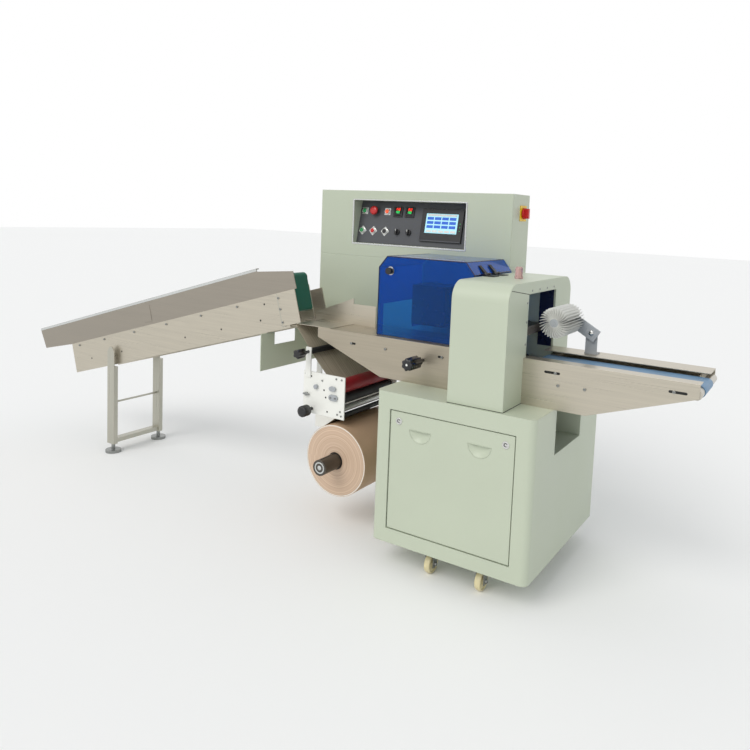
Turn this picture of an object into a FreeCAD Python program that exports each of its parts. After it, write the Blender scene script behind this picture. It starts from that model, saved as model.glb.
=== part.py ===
import FreeCAD, Part
import Sketcher
import math
import os
import re

# Horizontal flow wrapper: inclined infeed belt, film unit with its roll, bag former and table
# under a hinged cover, end sealing jaws in an arch, and an outfeed belt with a brush.
#
# Millimetres, +Z up, +X along the product flow, the operator stands on the -Y side.
# Every place below is measured from the machine datum: the floor point under the base
# cabinet's front right corner. The cells datum_x and datum_y put that point in the part's
# own frame, whose origin is on the floor under the middle of the machine.

DOCUMENT = FreeCAD.newDocument("flow_wrapper")
SHEET = DOCUMENT.addObject("Spreadsheet::Sheet", "Sizes")

SIZES = [
    ("datum_x", 1328.7, "machine datum, along the flow"),
    ("datum_y", -370.5, "machine datum, across the flow"),
    # base cabinet and its casters
    ("base_length", 636, "base cabinet along the flow"),
    ("base_depth", 741, "base cabinet across the flow"),
    ("base_low", 105, "underside of the base cabinet"),
    ("base_top", 685, "top of the base cabinet"),
    ("base_corner", 28, "radius of the upright corners"),
    ("passage_front", 207, "front wall of the passage through the base"),
    ("passage_back", 494, "rear wall of the passage"),
    ("passage_low", 512, "floor of the passage"),
    ("panel_left", -571, "left edge of the front panel's recess"),
    ("panel_right", -65, "right edge of the recess"),
    ("panel_low", 160, "lower edge of the recess"),
    ("panel_high", 621, "upper edge of the recess"),
    ("panel_gap", 4, "dark gap round the panel"),
    ("panel_step", 3, "panel face behind the cabinet face"),
    ("panel_thick", 20, "folded front panel"),
    ("grip_radius", 45, "half-round grip recess"),
    ("grip_high", 559, "flat upper side of the grips"),
    ("grip_depth", 14, "depth of the grips"),
    ("lock_radius", 13, "round panel lock"),
    ("grip_left", -440, "left grip"),
    ("grip_right", -200, "right grip"),
    ("lock_left", -531, "left lock"),
    ("lock_right", -102, "right lock"),
    ("lock_z", 582, "height of the locks"),
    ("wheel_radius", 37.5, "caster wheel"),
    ("wheel_width", 24, "caster wheel tread"),
    ("axle_radius", 5, "caster axle"),
    ("running_gap", 0.05, "radial play of an axle in its bore"),
    ("face_gap", 0.3, "free gap between a turning end and what stands behind it"),
    ("caster_left", -410, "left pair of casters"),
    ("caster_right", -200, "right pair of casters"),
    ("caster_front", 80, "wheel centre behind the front face"),
    # rear housing and control cabinet
    ("house_left", -1365, "left wall of the rear housing"),
    ("house_right", -359, "right wall of the rear housing"),
    ("house_front", 553, "front face of the rear housing"),
    ("house_back", 731, "rear face of the rear housing"),
    ("house_low", 616, "underside of the overhanging part"),
    ("house_seam", 1141, "joint between housing and control cabinet"),
    ("machine_height", 1450, "top of the control cabinet"),
    ("recess_left", -1170, "left edge of the control panel recess"),
    ("recess_right", -576, "right edge of the recess"),
    ("recess_low", 1204, "lower edge of the recess"),
    ("recess_height", 206, "recess height along the panel"),
    ("recess_step", 25, "panel depth at its lower edge"),
    ("panel_lean", 11.7, "backward lean of the control panel, degrees"),
    ("panel_sheet", 3, "control panel sheet"),
    ("screen_x", 351, "left edge of the touch screen, from the panel's left edge"),
    ("screen_z", 24, "lower edge of the touch screen, up the panel"),
    ("screen_wide", 210, "touch screen housing width"),
    ("screen_high", 150, "touch screen housing height"),
    ("screen_thick", 9, "touch screen housing in front of the panel"),
    ("button_high", 155, "upper row of controls"),
    ("button_low", 60, "lower row of controls"),
    ("column_left", 27, "first column of controls"),
    ("column_middle", 88, "second column"),
    ("column_right", 155, "third column"),
    ("selector_left", 223, "first selector"),
    ("selector_right", 285, "second selector"),
    ("controller", 48, "temperature controller front"),
    ("controller_left", 214, "first temperature controller"),
    ("controller_right", 278, "second temperature controller"),
    ("switch_y", 662, "main switch across the flow"),
    ("switch_z", 1371, "main switch height"),
    # end sealing arch and jaws
    ("arch_left", -341.5, "left face of the arch"),
    ("arch_right", -125, "right face of the arch"),
    ("arch_front", 14, "front face of the arch"),
    ("arch_back", 652, "rear face of the arch"),
    ("arch_top", 1124, "top of the arch"),
    ("arch_radius", 65, "rounded shoulders of the arch"),
    ("tunnel_front", 197, "front wall of the tunnel"),
    ("tunnel_back", 478, "rear wall of the tunnel"),
    ("tunnel_top", 1080, "roof of the tunnel"),
    ("jaw_line", 858, "height at which the jaws meet"),
    ("jaw_reach", 66, "jaw tip from its shaft"),
    ("jaw_gap", 5, "free gap between passing jaw tips"),
    ("jaw_shaft", 18, "jaw shaft radius"),
    ("jaw_half", 16, "half thickness of the jaw bar"),
    ("jaw_x", -233, "jaw shafts along the flow"),
    # wrapping table and cover
    ("table_left", -1063, "left end of the table"),
    ("table_front", 173, "near face of the table plates"),
    ("table_back", 430, "far face of the table plates"),
    ("table_top", 850, "top of the table and of the outfeed"),
    ("table_nose", 809, "lower end of the table's left edge"),
    ("table_knee", -737, "where the sloping lower edge meets the base"),
    ("sheet", 4, "thickness of the stainless side plates"),
    ("cover_left", -779.5, "left side of the cover"),
    ("cover_right", -347, "right edge of the cover"),
    ("cover_front", 200.6, "front face of the cover"),
    ("cover_back", 547, "rear edge of the cover"),
    ("cover_low", 852, "lower edge of the cover"),
    ("cover_high", 1176.7, "top of the cover"),
    ("cover_cut_x", 39, "chamfer along the flow"),
    ("cover_cut_z", 47, "chamfer height"),
    ("cover_wall", 4, "acrylic thickness"),
    ("pivot_x", -338, "cover hinge axis along the flow"),
    ("pivot_z", 1131, "cover hinge axis height"),
    ("hinge_first", 262, "near cover hinge"),
    ("hinge_second", 350, "far cover hinge"),
    ("fin_line", 304, "slot of the table for the film's fin"),
    ("handle_x", -538, "table hand knob along the flow"),
    ("handle_z", 784, "table hand knob height"),
    ("former_left", -1300, "leading edge of the bag former"),
    ("former_right", -1000, "trailing edge of the bag former"),
    ("former_back", 343, "rear wing of the bag former"),
    ("former_high", 967, "top of the wing"),
    # film unit and roll
    ("film_front", 147, "front face of the film unit"),
    ("film_plate", 5, "film unit plate thickness"),
    ("film_left", -1112, "left edge of the film unit"),
    ("film_right", -892, "right edge of the film unit"),
    ("film_low", 479, "lower edge of the film unit"),
    ("film_high", 660, "upper edge of the film unit"),
    ("reel_x", -928, "film roll axis along the flow"),
    ("reel_z", 298, "film roll axis height"),
    ("reel_radius", 153, "film roll radius"),
    ("core_radius", 45, "core of the film roll"),
    ("mandrel_radius", 33, "mandrel radius"),
    ("mandrel_end", 40, "free end of the mandrel"),
    ("reel_back", 540, "far face of the film roll"),
    ("guide_x", -1086, "film guide roller along the flow"),
    ("guide_z", 745, "film guide roller height"),
    ("feed_x", -930, "film feed rollers along the flow"),
    ("journal", 6, "roller journal radius"),
    # infeed conveyor, in its own sloping frame: along, up
    ("infeed_x", -2790, "lower left corner of the infeed frame"),
    ("infeed_z", 380, "height of that corner"),
    ("infeed_slope", 15.92, "rise of the infeed, degrees"),
    ("infeed_long", 1630, "length of the frame plates"),
    ("infeed_deep", 163, "depth of the frame plates"),
    ("infeed_front", 180, "near face of the infeed"),
    ("infeed_back", 450, "far face of the infeed"),
    ("trough_back", 333, "far face of the trough"),
    ("trough_tail", -280, "left tip of the trough"),
    ("trough_head", 1704, "right end of the trough"),
    ("trough_knee", 1491, "where the trough wall begins to fall"),
    ("trough_top", 281, "top of the trough walls"),
    ("trough_end", 241, "wall height at the right end"),
    ("trough_lip", 18, "folded lip of the near wall"),
    ("belt_top", 243, "carrying run of the infeed belt"),
    ("belt_thick", 2.5, "belt thickness"),
    # infeed legs
    ("leg_x", -2453, "legs along the flow"),
    ("leg_wide", 56, "leg tube along the flow"),
    ("leg_thick", 24, "leg tube across the flow"),
    ("foot_radius", 40, "levelling foot"),
    # outfeed conveyor
    ("outfeed_right", 469, "right end of the outfeed plates"),
    ("outfeed_knee", 110, "where the lower edge starts to rise"),
    ("outfeed_tip", 806, "lower corner of the right end"),
    ("outfeed_back", 490, "far face of the outfeed"),
    ("lane_front", 229, "near edge of the outfeed belt"),
    ("lane_back", 381, "far edge of the outfeed belt"),
    ("lane_top", 837, "surface of the outfeed belt"),
    ("lane_roller", 17, "outfeed roller radius"),
    # brush
    ("brush_x", -40, "brush axis along the flow"),
    ("brush_z", 982, "brush axis height"),
    ("brush_radius", 56, "brush radius"),
    ("brush_front", 230, "near end of the brush"),
    ("brush_back", 410, "far end of the brush"),
    ("post_x", 42, "arm pivot along the flow"),
    ("post_z", 934, "arm pivot height"),
]
for row, (alias, value, meaning) in enumerate(SIZES, start=1):
    SHEET.set(f"A{row}", meaning)
    SHEET.set(f"B{row}", str(value))
    SHEET.setAlias(f"B{row}", alias)
DOCUMENT.recompute()

X_AXIS = FreeCAD.Vector(1, 0, 0)
Y_AXIS = FreeCAD.Vector(0, 1, 0)
Y_DOWN = FreeCAD.Vector(0, -1, 0)
TURNS = {
    "X": FreeCAD.Rotation(Y_AXIS, 90),
    "Y": FreeCAD.Rotation(X_AXIS, -90),
    "Z": FreeCAD.Rotation(),
}
PLANES = {"XY": "XY_Plane", "XZ": "XZ_Plane", "YZ": "YZ_Plane"}
PLACES = {}
NODES = []


def formula(text):
    """An expression in which every plain word names a cell of the sheet."""
    return re.sub(r"\b(?!sin\b|cos\b|tan\b)[a-z][a-z_]+", r"Sizes.\g<0>", str(text))


def value_of(text):
    """The present value of an expression of cells."""
    return float(SHEET.evalExpression(formula(text)))


def bind(feature, **values):
    """Binds properties to the sheet; a double underscore stands for a dot in the name."""
    for name, text in values.items():
        feature.setExpression(name.replace("__", "."), formula(text))


def at(feature, x=0, y=0, z=0):
    """Places a feature without turning it."""
    PLACES[feature.Name] = (x, y, z)
    bind(feature, Placement__Base__x=x, Placement__Base__y=y, Placement__Base__z=z)
    return feature


def turned(feature, axis, angle, x=0, y=0, z=0):
    """Turns a feature about an axis through its own origin, then places it."""
    rotation = FreeCAD.Rotation(axis, value_of(angle))
    feature.Placement = FreeCAD.Placement(FreeCAD.Vector(), rotation)
    bind(feature, Placement__Rotation__Angle=angle)
    return at(feature, x, y, z)


def node(feature, name):
    """Names a sub-part and moves it from the machine datum to the part's own frame."""
    x, y, z = PLACES.get(feature.Name, (0, 0, 0))
    at(feature, f"datum_x + ({x})", f"datum_y + ({y})", z)
    feature.Label = name
    NODES.append(feature)
    return feature


def block(x, y, z, length, width, height):
    """A rectangular block, from its lowest corner."""
    feature = DOCUMENT.addObject("Part::Box", "block")
    bind(feature, Length=length, Width=width, Height=height)
    return at(feature, x, y, z)


def bar(along, x, y, z, radius, length, angle=360):
    """A round bar that starts at x, y, z and runs along an axis."""
    feature = DOCUMENT.addObject("Part::Cylinder", "bar")
    feature.Placement = FreeCAD.Placement(FreeCAD.Vector(), TURNS[along])
    bind(feature, Radius=radius, Height=length)
    feature.Angle = angle
    return at(feature, x, y, z)


def group(pieces):
    """Like pieces that don't touch, kept as separate solids of one sub-part."""
    feature = DOCUMENT.addObject("Part::Compound", "group")
    feature.Links = pieces
    return feature


def fused(pieces):
    feature = DOCUMENT.addObject("Part::MultiFuse", "fused")
    feature.Shapes = pieces
    return feature


def cut(body, tools):
    feature = DOCUMENT.addObject("Part::Cut", "cut")
    feature.Base = body
    feature.Tool = tools[0] if len(tools) == 1 else group(tools)
    return feature


def outline(plane, corners, depth):
    """A body padded from a closed outline in one of its origin planes.

    Each corner is a pair of expressions, bound to the sheet through a horizontal and a
    vertical distance from the body's origin. The pad runs towards +X, +Y or +Z.
    """
    body = DOCUMENT.addObject("PartDesign::Body", "body")
    planes = {origin.Role: origin for origin in body.Origin.OriginFeatures}
    sketch = body.newObject("Sketcher::SketchObject", "outline")
    sketch.AttachmentSupport = (planes[PLANES[plane]], [""])
    sketch.MapMode = "FlatFace"
    points = [FreeCAD.Vector(value_of(x), value_of(y), 0) for x, y in corners]
    count = len(points)
    for k, point in enumerate(points):
        sketch.addGeometry(Part.LineSegment(point, points[(k + 1) % count]), False)
    for k, corner in enumerate(corners):
        sketch.addConstraint(Sketcher.Constraint("Coincident", k, 2, (k + 1) % count, 1))
        for kind, text, place in zip(("DistanceX", "DistanceY"), corner, points[k]):
            distance = Sketcher.Constraint(kind, -1, 1, k, 1, place)
            index = sketch.addConstraint(distance)
            sketch.setExpression(f"Constraints[{index}]", formula(text))
    pad = body.newObject("PartDesign::Pad", "pad")
    pad.Profile = sketch
    pad.Reversed = plane == "XZ"
    bind(pad, Length=depth)
    return body


def soften(body, radius, chosen):
    """Rounds those edges of a body whose middle point passes a test."""
    DOCUMENT.recompute()
    tip = body.Tip
    edges = enumerate(tip.Shape.Edges, start=1)
    names = [f"Edge{k}" for k, edge in edges if chosen(edge.CenterOfMass, edge)]
    fillet = body.newObject("PartDesign::Fillet", "fillet")
    fillet.Base = (tip, names)
    bind(fillet, Radius=radius)
    return body


def runs(edge, axis):
    """Whether a straight edge runs along an axis."""
    ends = edge.Vertexes
    if len(ends) < 2:
        return False
    return abs((ends[1].Point - ends[0].Point).normalize().dot(axis)) > 0.999


def base_cabinet():
    corners = [(0, 0), ("base_length", 0), ("base_length", "base_depth"), (0, "base_depth")]
    shell = outline("XY", corners, "base_top - base_low")
    at(shell, "-base_length", 0, "base_low")
    soften(shell, "base_corner", lambda middle, edge: runs(edge, FreeCAD.Vector(0, 0, 1)))
    passage = block(
        "-base_length - 5", "passage_front", "passage_low",
        "base_length + 10", "passage_back - passage_front", "base_top - passage_low + 5",
    )
    recess = block(
        "panel_left", -1, "panel_low",
        "panel_right - panel_left", "panel_step + panel_thick + 1", "panel_high - panel_low",
    )
    node(cut(shell, [passage, recess]), "base_cabinet")


def front_panel():
    plate = block(
        "panel_left + panel_gap", "panel_step", "panel_low + panel_gap",
        "panel_right - panel_left - 2 * panel_gap", "panel_thick",
        "panel_high - panel_low - 2 * panel_gap",
    )
    grips = [
        bar("Y", x, "panel_step - 1", "grip_high", "grip_radius", "grip_depth + 1", 180)
        for x in ("grip_left", "grip_right")
    ]
    node(cut(plate, grips), "base_front_panel")
    locks = [
        bar("Y", x, 0, "lock_z", "lock_radius", "panel_step")
        for x in ("lock_left", "lock_right")
    ]
    node(group(locks), "panel_locks")


def casters():
    """Four rigid casters whose wheels roll across the flow."""
    forks = []
    for row, y in enumerate(("caster_front", "base_depth - caster_front")):
        for side, x in enumerate(("caster_left", "caster_right")):
            forks.append(caster_fork(x, y))
            wheel = bar("X", f"{x} - wheel_width / 2", y, "wheel_radius", "wheel_radius", "wheel_width")
            bore = bar(
                "X", f"{x} - wheel_width", y, "wheel_radius", "axle_radius + running_gap",
                "2 * wheel_width",
            )
            name = f"caster_wheel_{('front', 'rear')[row]}_{('left', 'right')[side]}"
            node(cut(wheel, [bore]), name)
    node(group(forks), "caster_forks")


def caster_fork(x, y):
    plate = block(f"{x} - 32", f"{y} - 32", "base_low - 4", 64, 64, 4)
    legs = [
        block(f"{x} + ({side})", f"{y} - 16", "wheel_radius - 12", 3, 32, "base_low - wheel_radius + 10")
        for side in ("wheel_width / 2 + 3", "-wheel_width / 2 - 6")
    ]
    axle = bar("X", f"{x} - wheel_width / 2 - 3", y, "wheel_radius", "axle_radius", "wheel_width + 6")
    return fused([plate, axle] + legs)


def rear_housing():
    corners = [
        ("house_left", "house_low"), ("-base_length", "house_low"), ("-base_length", "base_top"),
        ("house_right", "base_top"), ("house_right", "house_seam"), ("house_left", "house_seam"),
    ]
    shell = outline("XZ", corners, "house_back - house_front")
    node(at(shell, 0, "house_front", 0), "rear_housing")


def control_cabinet():
    shell = block(
        "house_left", "house_front", "house_seam", "house_right - house_left",
        "house_back - house_front", "machine_height - house_seam",
    )
    back = "house_front + recess_step + panel_sheet / cos(panel_lean)"
    rise = "recess_height * cos(panel_lean)"
    corners = [
        ("house_front - 1", "recess_low"), (back, "recess_low"),
        (f"{back} + recess_height * sin(panel_lean)", f"recess_low + {rise}"),
        ("house_front - 1", f"recess_low + {rise}"),
    ]
    recess = outline("YZ", corners, "recess_right - recess_left")
    at(recess, "recess_left", 0, 0)
    node(cut(shell, [recess]), "control_cabinet")


def leaning(pieces):
    """Puts pieces on the control panel: x from its left edge, z up its face, y into it."""
    return turned(
        group(pieces), FreeCAD.Vector(-1, 0, 0), "panel_lean",
        "recess_left", "house_front + recess_step", "recess_low",
    )


def control_panel():
    sheet = block(0.5, 0, 1, "recess_right - recess_left - 1", "panel_sheet", "recess_height - 3")
    collar = bar("Y", "column_middle", -8, "button_high", 17, 8)
    collar_bore = bar("Y", "column_middle", -9, "button_high", "13 + running_gap", 10)
    node(leaning([sheet, cut(collar, [collar_bore])]), "control_panel")
    screen = block("screen_x", "-screen_thick", "screen_z", "screen_wide", "screen_thick", "screen_high")
    window = block(
        "screen_x + 21", "-screen_thick - 1", "screen_z + 38", "screen_wide - 45", 2,
        "screen_high - 58",
    )
    node(leaning([cut(screen, [window])]), "touch_screen")
    lamps = [bar("Y", x, -13, "button_high", 14, 13) for x in ("column_left", "column_right")]
    node(leaning(lamps), "pilot_lamps")
    controllers = [
        block(f"{x} - controller / 2", -5, "button_high - controller / 2", "controller", 5, "controller")
        for x in ("controller_left", "controller_right")
    ]
    node(leaning(controllers), "temperature_controllers")
    columns = ("column_left", "column_middle", "column_right")
    node(leaning([bar("Y", x, -11, "button_low", 14, 11) for x in columns]), "push_buttons")
    node(leaning([selector(x) for x in ("selector_left", "selector_right")]), "selector_switches")
    head = bar("Y", "column_middle", -28, "button_high", 21, 12)
    neck = bar("Y", "column_middle", -16, "button_high", 13, 11.5)
    node(leaning([fused([head, neck])]), "emergency_stop_button")


def selector(x):
    """A turning handle on a round bezel."""
    bezel = bar("Y", x, -4, "button_low", 15, 4)
    handle = block(f"{x} - 4", -16, "button_low - 13", 8, 13, 26)
    return fused([bezel, handle])


def main_switch():
    plate = block("house_right", "switch_y - 33", "switch_z - 33", 3, 66, 66)
    hole = bar("X", "house_right - 1", "switch_y", "switch_z", "8 + running_gap", 5)
    node(cut(plate, [hole]), "main_switch_plate")
    stem = bar("X", "house_right + 1", "switch_y", "switch_z", 8, 8)
    disc = bar("X", "house_right + 5", "switch_y", "switch_z", 24, 8)
    grip = block("house_right + 13", "switch_y - 7", "switch_z - 21", 16, 14, 42)
    node(fused([stem, disc, grip]), "main_switch_handle")


def end_seal_arch():
    corners = [
        ("arch_front", "base_top"), ("tunnel_front", "base_top"), ("tunnel_front", "tunnel_top"),
        ("tunnel_back", "tunnel_top"), ("tunnel_back", "base_top"), ("arch_back", "base_top"),
        ("arch_back", "arch_top"), ("arch_front", "arch_top"),
    ]
    shell = outline("YZ", corners, "arch_right - arch_left")
    at(shell, "arch_left", 0, 0)
    top = value_of("arch_top")
    middle_y = value_of("(arch_front + arch_back) / 2")
    reach = value_of("(arch_back - arch_front) / 2")
    soften(
        shell, "arch_radius",
        lambda middle, edge: middle.z > top - 1 and abs(middle.y - middle_y) > reach - 1
        and runs(edge, X_AXIS),
    )
    bores = [
        bar("Y", "jaw_x", "tunnel_front - 15", z, "jaw_shaft + running_gap", "tunnel_back - tunnel_front + 30")
        for z in (JAW_HIGH, JAW_LOW)
    ]
    node(cut(shell, bores), "end_seal_housing")


JAW_HIGH = "jaw_line + jaw_gap / 2 + jaw_reach"
JAW_LOW = "jaw_line - jaw_gap / 2 - jaw_reach"


def jaw(name, z):
    """A shaft with a cross bar whose two serrated tips crimp the film."""
    shaft = bar("Y", "jaw_x", "tunnel_front - 12", z, "jaw_shaft", "tunnel_back - tunnel_front + 24")
    bar_length = "2 * (jaw_reach - 4)"
    head = block(
        f"jaw_x - ({bar_length}) / 2", "tunnel_front + 15", f"{z} - jaw_half",
        bar_length, "tunnel_back - tunnel_front - 30", "2 * jaw_half",
    )
    grooves = [
        block(
            f"jaw_x + ({side}) * (jaw_reach - 5) - 2", "tunnel_front + 10",
            f"{z} - jaw_half + jaw_half / 3 * {k} - 1",
            4, "tunnel_back - tunnel_front - 20", 2,
        )
        for side in (-1, 1)
        for k in range(1, 6)
    ]
    node(fused([cut(head, grooves), shaft]), name)


def safety_cover():
    outer = outline("XZ", [
        ("cover_left", "cover_low"), ("cover_right", "cover_low"),
        ("cover_right", "cover_high - cover_cut_z"), ("cover_right - cover_cut_x", "cover_high"),
        ("cover_left + cover_cut_x", "cover_high"), ("cover_left", "cover_high - cover_cut_z"),
    ], "cover_back - cover_front")
    at(outer, 0, "cover_front", 0)
    inner = outline("XZ", [
        ("cover_left + cover_wall", "cover_low - 1"), ("cover_right + 1", "cover_low - 1"),
        ("cover_right + 1", "cover_high - cover_wall - 1.205 * (cover_cut_x + 0.47 * cover_wall + 1)"),
        ("cover_right - cover_cut_x - 0.47 * cover_wall", "cover_high - cover_wall"),
        ("cover_left + cover_cut_x + 0.47 * cover_wall", "cover_high - cover_wall"),
        ("cover_left + cover_wall", "cover_high - cover_cut_z - 0.36 * cover_wall"),
    ], "cover_back - cover_front")
    at(inner, 0, "cover_front + cover_wall", 0)
    entry = block("cover_left - 1", 240, "cover_low - 1", "cover_wall + 2", 240, 125)
    node(cut(outer, [inner, entry]), "safety_cover")
    node(bar("Y", -722, "cover_front - 20", 1118, 14, 20), "cover_knob")


def cover_hinges():
    """Two hinges on the arch's top edge; each has one moving knuckle between two fixed ones."""
    moving = []
    fixed = []
    pins = []
    for y in ("hinge_first", "hinge_second"):
        leaf = outline("XZ", [
            ("cover_right", "cover_high - cover_cut_z"), ("pivot_x", "pivot_z - 2"),
            ("pivot_x", "pivot_z + 3"), ("cover_right - 22", "cover_high - cover_cut_z + 33"),
            ("cover_right - 25", "cover_high - cover_cut_z + 25 * cover_cut_z / cover_cut_x"),
        ], 20)
        at(leaf, 0, f"{y} + 15", 0)
        knuckle = bar("Y", "pivot_x", f"{y} + 15", "pivot_z", 5, 20)
        bore = bar("Y", "pivot_x", y, "pivot_z", "2 + running_gap", 50)
        moving.append(cut(fused([leaf, knuckle]), [bore]))
        plate = block("pivot_x + 7", y, "arch_top", 34, 50, 3)
        ends = [
            fused([
                bar("Y", "pivot_x", f"{y} + {start}", "pivot_z", 5, 13),
                block("pivot_x - 3", f"{y} + {start}", "arch_top", 12, 13, "pivot_z - arch_top"),
            ])
            for start in (0, 37)
        ]
        pin = bar("Y", "pivot_x", y, "pivot_z", 2, 50)
        fixed.append(fused([plate, pin] + ends))
    node(group(moving), "cover_hinge_leaves")
    node(group(fixed), "hinge_brackets")


def wrapping_table():
    corners = [
        ("table_left", "table_nose"), ("table_knee", "base_top"), ("arch_left", "base_top"),
        ("arch_left", "table_top"), ("table_left", "table_top"),
    ]
    plates = [
        at(outline("XZ", corners, "sheet"), 0, y, 0)
        for y in ("table_front", "table_back - sheet")
    ]
    deck = block(
        "table_left", "table_front", "table_top - 3", "arch_left - table_left",
        "table_back - table_front", 3,
    )
    slot = block("table_left + 150", "fin_line - 4", "table_top - 5", "arch_left - table_left - 150 + 1", 8, 7)
    ties = [
        block(x, "table_back - sheet", "table_top - 55", 40, "house_front - table_back + sheet", 30)
        for x in (-1010, -780, -480)
    ]
    hole = bar("Y", "handle_x", "table_front - 1", "handle_z", "6 + running_gap", "sheet + 2")
    node(cut(fused([deck] + plates + ties), [slot, hole]), "wrapping_table")
    shaft = bar("Y", "handle_x", 70, "handle_z", 6, 120)
    knob = bar("Y", "handle_x", 50, "handle_z", 25, 25)
    node(fused([shaft, knob]), "table_hand_knob")
    unit = block(-735, 400, 880, 160, "house_front - 400", 170)
    node(unit, "film_drive_unit")


def bag_former():
    wing = outline("XZ", [
        ("former_left", "table_top + 2"), ("former_right", "table_top + 2"),
        ("former_right", "former_high"),
    ], 3)
    at(wing, 0, "former_back - 3", 0)
    tray = block(
        "former_left + 115", "table_front + 3", "table_top", "former_right - former_left - 115",
        "former_back - table_front - 3", 2,
    )
    node(fused([wing, tray]), "bag_former")
    guide = block("former_right", "former_back - 3", "table_top", 120, 3, 92)
    node(guide, "product_guide")


def film_unit():
    corners = [
        ("film_left", "film_low + 32"), ("film_left + 32", "film_low"), ("film_right", "film_low"),
        ("film_right", "film_high"), ("film_left", "film_high"),
    ]
    front = at(outline("XZ", corners, "film_plate"), 0, "film_front", 0)
    rear = at(outline("XZ", corners, "film_plate"), 0, "house_front - film_plate", 0)
    arm = block("guide_x - 14", "film_front - 5", "film_high - 25", 28, 5, "guide_z - film_high + 45")
    boss = bar("Y", "guide_x", "house_front - 12", "guide_z", 16, 12)
    spacers = [
        block(x, "film_front", z, 16, "house_front - film_front", 16)
        for x, z in (("film_left + 10", 590), ("film_left + 102", 484))
    ]
    bores = [
        bar("Y", x, "house_front - 13", z, "journal + running_gap", 14)
        for x, z, radius in ROLLERS.values()
    ]
    carrier = group([fused([front, arm, rear] + spacers), boss])
    node(cut(carrier, bores), "film_unit_frame")
    for name, (x, z, radius) in ROLLERS.items():
        drum = bar("Y", x, "film_front + film_plate + 4", z, radius, "house_front - film_front - 24")
        journal = bar("Y", x, "house_front - 16", z, "journal", 14)
        node(fused([drum, journal]), name)
    star = bar("Y", "guide_x", 62, "guide_z", 21, 18)
    stud = bar("Y", "guide_x", 80, "guide_z", 5, "film_front - 85 - face_gap")
    node(fused([star, stud]), "film_guide_star_knob")
    knob = bar("Y", "film_left + 50", 75, "film_low + 21", 24, 22)
    stem = bar("Y", "film_left + 50", 97, "film_low + 21", 6, "film_front - 97 - face_gap")
    node(fused([knob, stem]), "film_tension_knob")


ROLLERS = {
    "film_guide_roller": ("guide_x", "guide_z", 13),
    "red_feed_roller": ("feed_x", 613, 30),
    "feed_nip_roller": ("feed_x", 558, 22),
    "aluminium_web_roller": ("feed_x + 13", 520, 14),
    "black_web_roller": ("feed_x + 20", 492, 10),
}


def film_reel():
    roll = bar("Y", "reel_x", "film_front", "reel_z", "reel_radius", "reel_back - film_front")
    core = bar("Y", "reel_x", "film_front - 1", "reel_z", "core_radius", "reel_back - film_front + 2")
    node(cut(roll, [core]), "film_roll")
    tube = bar("Y", "reel_x", "mandrel_end", "reel_z", "mandrel_radius", "reel_back - mandrel_end")
    sleeve = bar("Y", "reel_x", "film_front + 12", "reel_z", "core_radius", "reel_back - film_front - 24")
    journal = bar("Y", "reel_x", "reel_back - 5", "reel_z", 12, 50)
    node(fused([tube, journal, sleeve]), "film_mandrel")
    upright = block("house_left + 4", "house_front - 8", "reel_z - 30", 30, 8, "house_low - reel_z + 60")
    arm = block("house_left + 4", "house_front - 8", "reel_z - 30", "reel_x - house_left + 36", 8, 60)
    boss = bar("Y", "reel_x", "house_front - 8", "reel_z", 30, 45)
    bore = bar("Y", "reel_x", "house_front - 9", "reel_z", "12 + running_gap", 47)
    node(cut(fused([upright, arm, boss]), [bore]), "film_roll_bracket")


def web(start, end):
    """A taut stretch of film between two points seen from the front."""
    (x1, z1), (x2, z2) = start, end
    length = math.hypot(x2 - x1, z2 - z1)
    rise = math.degrees(math.atan2(z2 - z1, x2 - x1))
    sheet = block(0, 0, -0.5, length, 340, 1)
    return turned(group([sheet]), Y_DOWN, rise, x1, 175, z1)


def tangent(first, second):
    """The ends of film that runs off the left side of one roller onto that of the next."""
    x1, z1, r1 = (value_of(size) for size in first)
    x2, z2, r2 = (value_of(size) for size in second)
    clear = 0.8
    lean = math.acos((r1 - r2) / math.hypot(x2 - x1, z2 - z1))
    normal = math.atan2(z2 - z1, x2 - x1) + lean
    return [
        (x + (radius + clear) * math.cos(normal), z + (radius + clear) * math.sin(normal))
        for x, z, radius in ((x1, z1, r1), (x2, z2, r2))
    ]


def film_web():
    node(group([
        web(*tangent(("reel_x", "reel_z", "reel_radius"), ROLLERS["black_web_roller"])),
        web(*tangent(ROLLERS["red_feed_roller"], ROLLERS["film_guide_roller"])),
        web(*tangent(ROLLERS["film_guide_roller"], (-1188, 846, 0))),
    ]), "film_web")


def sloping(feature):
    """Puts a piece of the infeed on its slope: x along it, z square to it."""
    return turned(feature, Y_DOWN, "infeed_slope", "infeed_x", 0, "infeed_z")


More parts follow.
